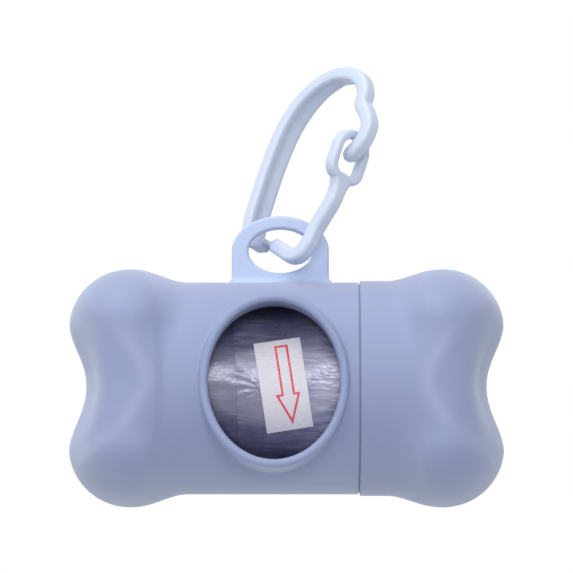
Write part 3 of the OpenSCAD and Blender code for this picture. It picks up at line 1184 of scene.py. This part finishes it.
    def spigot(self) -> Shape:
        """Spins the hollow spigot that carries the core, on the +X side.

        Returns:
            The spigot.
        """
        outer, inner, tip, foot = 6.0, 4.6, 20.3, 31.0
        return spun([(tip, inner + 0.2), (tip, outer - 0.5), (tip + 0.5, outer), (tip + 4, outer),
                     (foot - 1.6, outer), (foot - 1.0, outer + 0.6), (foot, outer + 0.6), (foot, inner),
                     (tip + 4, inner), (tip + 0.2, inner)], 64, closed=True)

    def build(self, bench: Bench) -> None:
        """Makes and dresses the body's pieces.

        Args:
            bench: Bench that finishes them.
        """
        thread = self.thread(self.neck_r, self.neck_r + self.thread_rise, self.seam_x + 1.6)
        for bm, name, finish, sharp in ((self.skin(), "shell_barrel", BODY_PLASTIC, 30),
                                        (self.collar(), "shell_window_collar", RIM_PLASTIC, 50),
                                        (self.lug(), "shell_lug", PAINTED_LIGHT_PLASTIC, 50),
                                        (thread, "shell_thread", BODY_PLASTIC, 35),
                                        (mirrored(self.spigot()), "shell_spigot", BODY_PLASTIC, 35)):
            bench.finish(bm, name, finish, Rider.SHELL, "body", "body_shell", sharp)


@dataclass
class ScrewCap:
    """The cap that closes the bone: its other end, with a skirt over the neck."""

    radius: float = 20.9
    skirt: float = 19.75
    bore: float = 17.8
    start_x: float = 14.24
    neck_x: float = 22.6
    wall_x: float = 30.0
    barrel: Barrel = field(default_factory=Barrel)

    def skin(self) -> Shape:
        """Spins the cap with its hollow and settles the shaped end.

        Returns:
            The cap, with the rubbed ridge marked.
        """
        end, lip, corner = self.barrel.end, 0.28, 1.0
        profile = end.outline(self.barrel.rings, 16.0)
        profile += [(15.3, self.radius), (14.8, self.radius)]
        profile += arc((self.start_x + lip, self.radius - lip), lip, 90, 180, 5)
        profile += [(self.start_x, self.skirt + 0.3), (self.start_x + 0.3, self.skirt)]
        profile += [(18.5, self.skirt), (self.neck_x, self.skirt), (self.neck_x, self.bore)]
        profile += arc((self.wall_x - corner, self.bore - corner), corner, 90, 0, 4) + [(self.wall_x, 0.0)]
        bm = spun(profile, self.barrel.sides)
        move_verts(bm, lambda co: end.settle(co, self.radius))
        bmesh.ops.recalc_face_normals(bm, faces=bm.faces[:])
        # Marks where the painted highlight along the ridge lies.
        mark_verts(bm, "wear_and_highlight", end.wear_and_highlight)
        return bm

    def build(self, bench: Bench) -> None:
        """Makes and dresses the cap's pieces.

        Args:
            bench: Bench that finishes them.
        """
        crest = self.skirt - self.barrel.thread_rise
        thread = self.barrel.thread(self.skirt, crest, self.barrel.seam_x + 3.6)
        for bm, name, sharp in ((self.skin(), "cap_body", 30), (thread, "cap_thread", 35),
                                (self.barrel.spigot(), "cap_spigot", 35)):
            bench.finish(bm, name, BODY_PLASTIC, Rider.CAP, "body", "end_cap", sharp)


# Clip

@dataclass
class SnapClip:
    """The moulded clip: a loop of strap that turns into a hook, a living hinge and a gate with an eye."""

    at: tuple[float, float, float] = (-0.7, 0.0, 27.0)
    turn: float = 46.6
    lean: float = 20.5
    strap: tuple[float, float] = (2.4, 5.0)
    groove: float = 0.45
    bar: float = 2.9
    eye_len: float = 10.7
    eye_w: float = 8.8
    eye_rim: float = 1.7
    eye_t: float = 2.4
    eye_tilt: float = 4.0
    loop: Path = ((-4.6, 1.1), (-7.4, 1.5), (-9.6, 3.3), (-10.3, 7), (-10.2, 12), (-9.7, 19), (-8.3, 26.4),
                  (-5.8, 31.4), (-2, 35), (2.6, 36.9), (5.6, 36.9), (8.4, 36.4), (11, 34.8), (12.6, 32.4),
                  (12.9, 29.7), (14.9, 27.4), (16.3, 24.9), (16, 22.1), (14.4, 19.8), (11.9, 18.2))
    gate: Path = ((-0.9, 0.4), (1.8, -0.9), (4.4, -2.1), (6.8, -1.8), (8.2, 0.2), (9.1, 3.3), (10.5, 6.4),
                  (11.8, 9.5), (12.3, 13.2))
    web: Path = ((-5.0, 1.2), (-4.3, 1.15), (-3.6, 1.05), (-2.7, 0.9), (-1.8, 0.72), (-1.1, 0.5),
                 (-0.5, 0.25))
    web_bend: Path = ((-4.0, 1.1), (-1.4, 0.62))
    steps: int = 8

    def matrix(self) -> Matrix:
        """Turns the clip's own plane, with x to the hook and z along the loop, into place."""
        return (Matrix.Translation(self.at) @ Matrix.Rotation(math.radians(-self.turn), 4, "Z")
                @ Matrix.Rotation(math.radians(-self.lean), 4, "X"))

    def bar_y(self) -> float:
        """Middle of the bars' depth. They lie flush with the strap's front rim."""
        return (self.bar - self.strap[1]) / 2

    def bar_along(self, path: np.ndarray, sections: Sequence[np.ndarray]) -> Shape:
        """Sweeps a bar through a section across each point of a path.

        Args:
            path: Points in the clip's plane.
            sections: A section of (across, depth) for each point.

        Returns:
            The bar, in its place on the bone.
        """
        rings = []
        for i, (point, section) in enumerate(zip(path, sections)):
            way = path[min(i + 1, len(path) - 1)] - path[max(i - 1, 0)]
            way = way / np.linalg.norm(way)
            rings.append(np.column_stack([point[0] + way[1] * section[:, 0], section[:, 1],
                                          point[1] - way[0] * section[:, 0]]))
        bm = swept(rings)
        bm.transform(self.matrix())
        return bm

    def shrink(self, section: np.ndarray, share: float) -> np.ndarray:
        """Draws a section in towards the middle of its own depth."""
        middle = np.array([0.0, (section[:, 1].min() + section[:, 1].max()) / 2])
        return middle + (section - middle) * share

    def frame_bar(self) -> Shape:
        """Sweeps the loop from its blunt foot behind the lug to the hook's rounded nose.

        Returns:
            The loop.
        """
        path = smooth_curve(self.loop, self.steps)
        front = -self.strap[1] / 2
        sections = []
        for i in range(len(path)):
            span = i / self.steps
            t = float(ease((span - 6.2) / 5.6))
            slim = max(t, 1 - float(ease((span - 0.2) / 2.6)))
            sections.append(slab_section(mix(self.strap[0], self.bar, t), front,
                                         mix(self.strap[1] / 2, front + self.bar, slim),
                                         groove=mix(self.groove, 0.0, slim), rim=mix(1.25, 0.85, slim),
                                         corner=mix(0.55, 0.8, t)))
        nose = 7
        for k in range(nose):
            t = (k + 1) / nose * 0.985
            sections[len(path) - nose + k] = self.shrink(sections[len(path) - nose + k], math.sqrt(1 - t * t))
        rounded = [self.shrink(sections[0], s) for s in (0.8, 0.93)]
        lip = (path[1] - path[0]) * 0.12
        path = np.vstack([path[0], path[0] + lip, path[0] + 2.5 * lip, path[1:]])
        return self.bar_along(path, rounded + sections)

    def gate_bar(self) -> Shape:
        """Sweeps the gate from the living hinge up to its eye, and widens it into the eye's foot.

        Returns:
            The gate without its eye.
        """
        path = smooth_curve(self.gate, self.steps)
        tip = path[-1]
        way = (path[-1] - path[-3]) / np.linalg.norm(path[-1] - path[-3])
        path = np.vstack([path, tip + way * 0.5, tip + way * 1.0])
        sections = []
        for i in range(len(path)):
            t = float(ease((i - len(path) + 12) / 12))
            deep = mix(self.bar, self.bar + 2.1, t * t)
            thick = mix(self.bar, self.eye_t - 0.1, t)
            sections.append(slab_section(thick, self.bar_y() - deep / 2, self.bar_y() + deep / 2,
                                         groove=0.0, rim=0.9, corner=0.8))
        sections[0] = self.shrink(sections[0], 0.86)
        return self.bar_along(path, sections)

    def stirrup(self, half: float, length: float, corner: float, lift: float) -> list[tuple[float, float]]:
        """Outline of a stirrup: a half round on top and rounded corners at its foot.

        Args:
            half: Half its width.
            length: Its length.
            corner: Radius of the foot's corners.
            lift: Height of its foot.

        Returns:
            Points spread evenly, the same number for each size.
        """
        top = lift + length - half
        line = arc((0, top), half, 0, 180, 40)
        line += [(-half, mix(top, lift + corner, i / 12)) for i in range(1, 12)]
        line += arc((corner - half, lift + corner), corner, 180, 270, 10)
        line += [(mix(corner - half, half - corner, i / 8), lift) for i in range(1, 8)]
        line += arc((half - corner, lift + corner), corner, 270, 360, 10)
        line += [(half, mix(lift + corner, top, i / 12)) for i in range(1, 12)]
        return line

    def gate_eye(self) -> Shape:
        """Sweeps the eye's rounded rim round its slot.

        Returns:
            The eye.
        """
        half = self.eye_w / 2
        outer = self.stirrup(half, self.eye_len, 3.0, 0.0)
        inner = self.stirrup(half - self.eye_rim, self.eye_len - 2 * self.eye_rim, 1.5, self.eye_rim)
        t, r = self.eye_t / 2, 0.6
        rings = []
        for (oy, oz), (iy, iz) in zip(outer, inner):
            width = math.hypot(oy - iy, oz - iz)
            rows = arc((r, t - r), r, 180, 90, 4) + arc((width - r, t - r), r, 90, 0, 4)
            rows += [(a, -b) for a, b in reversed(rows)]
            rings.append(np.array([(b, mix(iy, oy, a / width), mix(iz, oz, a / width)) for a, b in rows]))
        bm = swept(rings, closed=True)
        tip = self.gate[-1]
        tilt = Matrix.Rotation(math.radians(self.eye_tilt), 4, "Y")
        bm.transform(self.matrix() @ Matrix.Translation((tip[0], self.bar_y(), tip[1])) @ tilt)
        return bm

    def hinge_web(self) -> Shape:
        """Sweeps the living hinge: full bars at both ends, thinned to a web between them.

        Returns:
            The hinge.
        """
        path = smooth_curve(self.web, 6)
        sections = []
        for i in range(len(path)):
            t = abs(2 * i / (len(path) - 1) - 1)
            thick = mix(0.8, 2.3, float(ease((t - 0.45) / 0.4)))
            deep = mix(self.bar - 0.15, self.bar - 0.1, t)
            sections.append(slab_section(thick, self.bar_y() - deep / 2, self.bar_y() + deep / 2,
                                         groove=0.0, rim=0.7, corner=min(0.36, thick * 0.4)))
        return self.bar_along(path, sections)

    def build(self, bench: Bench) -> None:
        """Makes and dresses the clip's pieces.

        Args:
            bench: Bench that finishes them.
        """
        bench.finish(self.frame_bar(), "clip_loop", CLIP_PLASTIC, Rider.CLIP, "clip", "clip_frame", 60)
        gate = joined([self.gate_bar(), self.gate_eye()])
        bench.finish(gate, "clip_gate_and_eye", CLIP_PLASTIC, Rider.GATE, "clip", "clip_gate", 60)
        hinge = self.hinge_web()
        web = bench.finish(hinge, "clip_living_hinge", CLIP_PLASTIC, None, "clip", "clip_hinge", 60)
        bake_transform(web)


# Roll

@dataclass
class BagRoll:
    """The roll of bags: core, wound film, one loose outer bag, and a paper label with an arrow."""

    radius: float = 16.4
    half_len: float = 29.0
    core_r: float = 7.0
    core_wall: float = 0.8
    bags_r: float = 7.1
    bag_x: float = -10.6
    bag_r: float = 16.62
    label_size: tuple[float, float] = (9.0, 17.4)
    label_at: tuple[float, float] = (-0.6, -0.5)
    label_r: float = 16.7
    label_t: float = 0.15
    slant: float = 8.7
    arrow: Path = ((-0.65, 7.6), (1.95, 7.6), (1.95, -1.85), (3.0, -1.85), (0.7, -7.7), (-1.8, -1.85),
                   (-0.65, -1.85))
    arrow_line: float = 0.42
    ink_proud: float = 0.02
    ink_t: float = 0.03
    bag_t: float = 0.06

    @staticmethod
    def way_round(co: np.ndarray, r: float) -> np.ndarray:
        """Length round the roll from its front, upwards, for points on radius r."""
        return np.arctan2(co[:, 2], -co[:, 1]) * r

    def pleats(self, x: np.ndarray, s: np.ndarray) -> np.ndarray:
        """Height of the creases that the label draws together, and of the film's waves.

        Args:
            x: Place along the roll.
            s: Place round it from the front.

        Returns:
            A height from about -1 to 1 for each point.
        """
        height = 0.18 * np.sin(0.55 * x + 0.4 * s) + 0.12 * np.sin(0.31 * x - 0.83 * s + 1.1)
        for knot_x, knot_s, side, folds, spread in ((-4.4, -1.2, -1, 15.0, 0.62), (3.6, 0.6, 1, 21.0, 0.36)):
            dx, ds = (x - knot_x) * side, s - knot_s
            away = np.hypot(dx, ds)
            angle = np.arctan2(ds, np.maximum(dx, 1e-3))
            fan = np.exp(-(angle / spread) ** 2) * ease(dx / 1.5) * np.exp(-away / 8.5)
            fold = np.sin(folds * angle + 0.5 * np.sin(away * 1.3) + 0.6 * side)
            height += 1.1 * fan * np.sign(fold) * np.abs(fold) ** 0.7
        for spot_x, spot_s, size in ((-13.0, -0.9, 1.5), (-10.4, -0.5, 1.1), (7.6, 1.0, 1.2),
                                     (9.9, -1.0, 1.3)):
            near = np.exp(-((x - spot_x) ** 2 + (s - spot_s) ** 2) / size ** 2)
            height += 0.5 * near * np.sin(3.1 * (x - spot_x) + 2.3 * (s - spot_s) ** 2 + 1.0)
        return height

    def add_way(self, bm: Shape) -> None:
        """Lays a UV map in metres along the roll and round it.

        Args:
            bm: Shape that gets the map.
        """
        layer = bm.loops.layers.uv.new("way")
        for face in bm.faces:
            middle = face.calc_center_median()
            turn = math.atan2(middle.z, -middle.y)
            for loop in face.loops:
                co = loop.vert.co
                a = math.atan2(co.z, -co.y)
                a += 2 * math.pi * round((turn - a) / (2 * math.pi))
                loop[layer].uv = (co.x * MM, a * max(math.hypot(co.y, co.z), 1.0) * MM)

    def wound(self) -> Shape:
        """Spins the wound film, with coarse turns at its ends and creases on its skin.

        Returns:
            The wound film.
        """
        turns = 14
        ends = [(self.half_len - (0.06 if i % 2 else 0.3) - 0.12 * math.sin(i * 2.3),
                 mix(self.bags_r, self.radius - 0.5, i / (turns - 1))) for i in range(turns)]
        outer = [(x, self.radius) for x in np.arange(self.half_len - 0.5, -self.half_len + 0.4, -0.5)]
        left = [(-x, r) for x, r in reversed(ends)]
        hole = [(x, self.bags_r) for x in np.linspace(-self.half_len + 2, self.half_len - 2, 6)]
        bm = spun(ends + outer + left + hole, 220, closed=True)
        move_verts(bm, self.press_creases)
        self.add_way(bm)
        return bm

    def press_creases(self, co: np.ndarray) -> np.ndarray:
        """Presses creases into the wound film's outer skin.

        Args:
            co: Points of the film, one a row.

        Returns:
            The points in place.
        """
        out = co.copy()
        skin = np.hypot(co[:, 1], co[:, 2]) > self.radius - 0.05
        share = (0.1 * self.pleats(co[:, 0], self.way_round(co, self.radius)) - 0.06)[skin] / self.radius
        out[skin, 1:] *= (1 + np.minimum(share, 0.0))[:, None]
        return out

    def loose_bag(self) -> Shape:
        """Spins the loose outer bag, skews its near edge, lays it in creases and gives it a thickness.

        Returns:
            The bag.
        """
        line = [(x, self.bag_r) for x in np.arange(self.bag_x, self.half_len - 0.05, 0.3)]
        bm = spun(line, 300)
        move_verts(bm, self.lay_bag)
        bmesh.ops.recalc_face_normals(bm, faces=bm.faces[:])
        bmesh.ops.solidify(bm, geom=bm.faces[:], thickness=self.bag_t)
        self.add_way(bm)
        return bm

    def lay_bag(self, co: np.ndarray) -> np.ndarray:
        """Skews the loose bag's near edge and lifts its creases.

        Args:
            co: Points of the bag, one a row.

        Returns:
            The points in place.
        """
        out = co.copy()
        s = self.way_round(co, self.bag_r)
        left = 1 - (co[:, 0] - self.bag_x) / (self.half_len - self.bag_x)
        out[:, 0] += left ** 2 * (0.5 + 0.9 * np.sin(s / self.bag_r + 2.6) + 0.12 * np.sin(1.9 * s))
        lift = 0.15 * self.pleats(out[:, 0], s) - 0.04
        lift += 0.05 * left ** 8 * np.sin(1.3 * s + 0.4)
        out[:, 1:] *= (1 + np.clip(lift, -0.12, 0.06) / self.bag_r)[:, None]
        return out

    def core(self) -> Shape:
        """Spins the card core.

        Returns:
            The core.
        """
        x, outer, inner, edge = self.half_len, self.core_r, self.core_r - self.core_wall, 0.15
        return spun([(-x, outer - edge), (-x + edge, outer), (0, outer), (x - edge, outer), (x, outer - edge),
                     (x, inner + edge), (x - edge, inner), (0, inner), (edge - x, inner), (-x, inner + edge)],
                    96, closed=True)

    def on_roll(self, bm: Shape, r: float) -> None:
        """Turns a flat shape by the label's slant and lays it on the roll's front.

        Args:
            bm: The flat shape.
            r: Radius on which it comes to lie.
        """
        bmesh.ops.rotate(bm, cent=(0, 0, 0), matrix=Matrix.Rotation(math.radians(-self.slant), 3, "Y"),
                         verts=bm.verts[:])
        bmesh.ops.translate(bm, vec=(self.label_at[0], 0, self.label_at[1]), verts=bm.verts[:])
        move_verts(bm, lambda co: np.column_stack([co[:, 0], co[:, 1] - np.sqrt(r * r - co[:, 2] ** 2),
                                                   co[:, 2]]))

    @staticmethod
    def thicken(bm: Shape, thickness: float) -> Shape:
        """Faces a sheet forwards and gives it a thickness.

        Args:
            bm: The sheet.
            thickness: Its thickness, which goes backwards.

        Returns:
            The same shape, now solid.
        """
        bmesh.ops.recalc_face_normals(bm, faces=bm.faces[:])
        if sum(f.normal.y for f in bm.faces) > 0:
            bmesh.ops.reverse_faces(bm, faces=bm.faces[:])
        bmesh.ops.solidify(bm, geom=bm.faces[:], thickness=thickness)
        return bm

    def label(self) -> Shape:
        """Bends the paper label onto the roll.

        Returns:
            The label.
        """
        bm = bmesh.new()
        bmesh.ops.create_grid(bm, x_segments=18, y_segments=44, size=0.5)
        bmesh.ops.rotate(bm, cent=(0, 0, 0), matrix=UPRIGHT, verts=bm.verts[:])
        bmesh.ops.scale(bm, vec=(self.label_size[0], 1, self.label_size[1]), verts=bm.verts[:])
        self.on_roll(bm, self.label_r + self.label_t)
        return self.thicken(bm, self.label_t - 0.03)

    def arrow_outline(self) -> Shape:
        """Insets a plain arrow to a thin outline and bends it onto the label.

        Returns:
            The printed arrow.
        """
        bm = bmesh.new()
        face = bm.faces.new([bm.verts.new((x, 0, z)) for x, z in self.arrow])
        bm.normal_update()
        bmesh.ops.inset_region(bm, faces=[face], thickness=self.arrow_line, use_boundary=True,
                               use_even_offset=True)
        bmesh.ops.delete(bm, geom=[face], context="FACES_ONLY")
        for k in range(-21, 20):
            bmesh.ops.bisect_plane(bm, geom=bm.verts[:] + bm.edges[:] + bm.faces[:], plane_co=(0, 0, k * 0.4),
                                   plane_no=(0, 0, 1))
        self.on_roll(bm, self.label_r + self.label_t + self.ink_proud)
        return self.thicken(bm, self.ink_t)

    def build(self, bench: Bench) -> None:
        """Makes and dresses the roll's pieces.

        Args:
            bench: Bench that finishes them.
        """
        for bm, name, finish, rider, slot, node, sharp in (
                (self.wound(), "roll_wound_film", ROLL_FILM, Rider.ROLL, "film", "bag_roll", 45),
                (self.loose_bag(), "roll_loose_bag", LOOSE_FILM, Rider.ROLL, "outer_film", "outer_bag", 60),
                (self.core(), "roll_card_core", CARD, Rider.CORE, "card", "core_tube", 35),
                (self.label(), "roll_paper_label", PAPER, Rider.ROLL, "label", "roll_label", 35),
                (self.arrow_outline(), "roll_label_arrow", RED_INK, Rider.ROLL, "label", "roll_label", 35)):
            bench.finish(bm, name, finish, rider, slot, node, sharp)


# Studio

@dataclass(frozen=True)
class Lamp:
    """A soft lamp that hangs round the bone and looks at it.

    Its azimuth runs in degrees from the camera's side towards +X, its elevation is in degrees above the bone,
    and its distance and size are in metres. Its share is the light that it gives a surface facing it, where 1
    shows a colour as written.
    """

    name: str
    azimuth: float
    elevation: float
    distance: float
    size: tuple[float, float]
    share: float

    def hang(self, middle: Vector) -> None:
        """Hangs the lamp.

        Args:
            middle: The bone's middle.
        """
        a, e = math.radians(self.azimuth), math.radians(self.elevation)
        out = Vector((math.sin(a) * math.cos(e), -math.cos(a) * math.cos(e), math.sin(e)))
        data = bpy.data.lights.new(self.name, "AREA")
        data.shape = "RECTANGLE"
        data.size, data.size_y = self.size
        data.energy = self.share * math.pi ** 2 * self.distance ** 2
        lamp = new_object(self.name, data)
        lamp.location = middle + out * self.distance
        lamp.rotation_euler = (-out).to_track_quat("-Z", "Y").to_euler()
        lamp.visible_camera = False


@dataclass
class Studio:
    """A white sweep, soft lamps and the camera at the photograph's angle."""

    distance: float = 1.1
    elevation: float = -5.4
    rise: float = 0.01984
    picture: float = 0.1115
    sensor: float = 36.0
    floor_drop: float = 0.108
    ground: tuple[float, float, float] = (0.32, 0.27, 0.3)
    sky: tuple[float, float, float] = (0.68, 0.7, 0.71)
    lamps: tuple[Lamp, ...] = (
        Lamp("key", azimuth=-44, elevation=60, distance=0.9, size=(0.9, 0.9), share=0.76),
        Lamp("front", azimuth=4, elevation=16, distance=1.0, size=(0.5, 0.22), share=0.3))

    def camera(self, middle: Vector) -> None:
        """Sets the long-lens camera a little below the bone, looking slightly up.

        Args:
            middle: The bone's middle.
        """
        e = math.radians(self.elevation)
        towards = Vector((0, math.cos(e), -math.sin(e)))
        up = Vector((0, math.sin(e), math.cos(e)))
        data = bpy.data.cameras.new("camera")
        data.sensor_width = self.sensor
        data.lens = self.sensor * self.distance / self.picture
        data.clip_start = 0.01
        camera = new_object("camera", data)
        camera.location = middle + up * self.rise - towards * self.distance
        camera.rotation_euler = towards.to_track_quat("-Z", "Y").to_euler()
        bpy.context.scene.camera = camera

    def world(self) -> None:
        """Makes a world that shows white and lights the bone softly, more from above than from below."""
        world = bpy.data.worlds.new("studio")
        bpy.context.scene.world = world
        world.use_nodes = True
        tree = world.node_tree
        tree.nodes.clear()
        path = tree.nodes.new("ShaderNodeLightPath")
        seen = add_math(tree, "MAXIMUM", path.outputs["Is Camera Ray"], path.outputs["Is Glossy Ray"])
        seen = add_math(tree, "MAXIMUM", seen, path.outputs["Is Transmission Ray"])
        split = tree.nodes.new("ShaderNodeSeparateXYZ")
        feed(tree, split, {0: tree.nodes.new("ShaderNodeTexCoord").outputs["Generated"]})
        height = add_range(tree, split.outputs["Z"], -1.0, 1.0, 0.0, 1.0)
        soft = tree.nodes.new("ShaderNodeBackground")
        shade = add_tint(tree, height, (*self.ground, 1), (*self.sky, 1))
        feed(tree, soft, {"Color": shade, "Strength": 1.0})
        white = tree.nodes.new("ShaderNodeBackground")
        feed(tree, white, {"Color": (1, 1, 1, 1), "Strength": 1.0})
        both = tree.nodes.new("ShaderNodeMixShader")
        feed(tree, both, {0: seen, 1: soft.outputs[0], 2: white.outputs[0]})
        feed(tree, tree.nodes.new("ShaderNodeOutputWorld"), {"Surface": both.outputs[0]})

    def floor(self, middle: Vector) -> None:
        """Lays a plain pale floor under the hanging bone.

        Args:
            middle: The bone's middle.
        """
        bm = bmesh.new()
        bmesh.ops.create_grid(bm, x_segments=8, y_segments=8, size=3.0)
        bmesh.ops.translate(bm, vec=(middle.x, middle.y, middle.z - self.floor_drop), verts=bm.verts[:])
        mesh = bpy.data.meshes.new("floor")
        bm.to_mesh(mesh)
        bm.free()
        material, tree, skin = new_material("plain pale floor")
        path = tree.nodes.new("ShaderNodeLightPath")
        where = tree.nodes.new("ShaderNodeTexCoord").outputs["Object"]
        seen = add_math(tree, "MAXIMUM", path.outputs["Is Camera Ray"], path.outputs["Is Glossy Ray"])
        cloud = add_range(tree, add_noise(tree, where, 3, 2), 0.3, 0.7, 0.97, 1.0)
        level = add_math(tree, "MULTIPLY", add_range(tree, seen, 0.0, 1.0, 0.6, 0.8), cloud)
        feed(tree, skin, {"Base Color": add_grey(tree, level), "Roughness": 0.9, "Specular IOR Level": 0.1,
                          "Emission Color": (1, 1, 1, 1),
                          "Emission Strength": add_range(tree, seen, 0.0, 1.0, 0.0, 0.32)})
        mesh.materials.append(material)
        floor = new_object("floor", mesh)

    def build(self, middle: Vector) -> None:
        """Sets up the whole studio.

        Args:
            middle: The bone's middle.
        """
        bpy.context.scene.view_settings.view_transform = "Standard"
        self.camera(middle)
        self.world()
        self.floor(middle)
        for lamp in self.lamps:
            lamp.hang(middle)


def main() -> None:
    """Builds the dispenser's pieces in order and lights them."""
    logging.basicConfig(level=logging.INFO, format="%(name)s: %(message)s")
    low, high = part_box("bag_roll")
    middle = (Vector(low) + Vector(high)) / 2
    bench = Bench(middle)
    barrel = Barrel()
    for part in (barrel, ScrewCap(barrel=barrel), SnapClip(), BagRoll()):
        log.info("building %s", type(part).__name__)
        part.build(bench)
    Studio().build(middle)


if __name__ == "__main__":
    main()
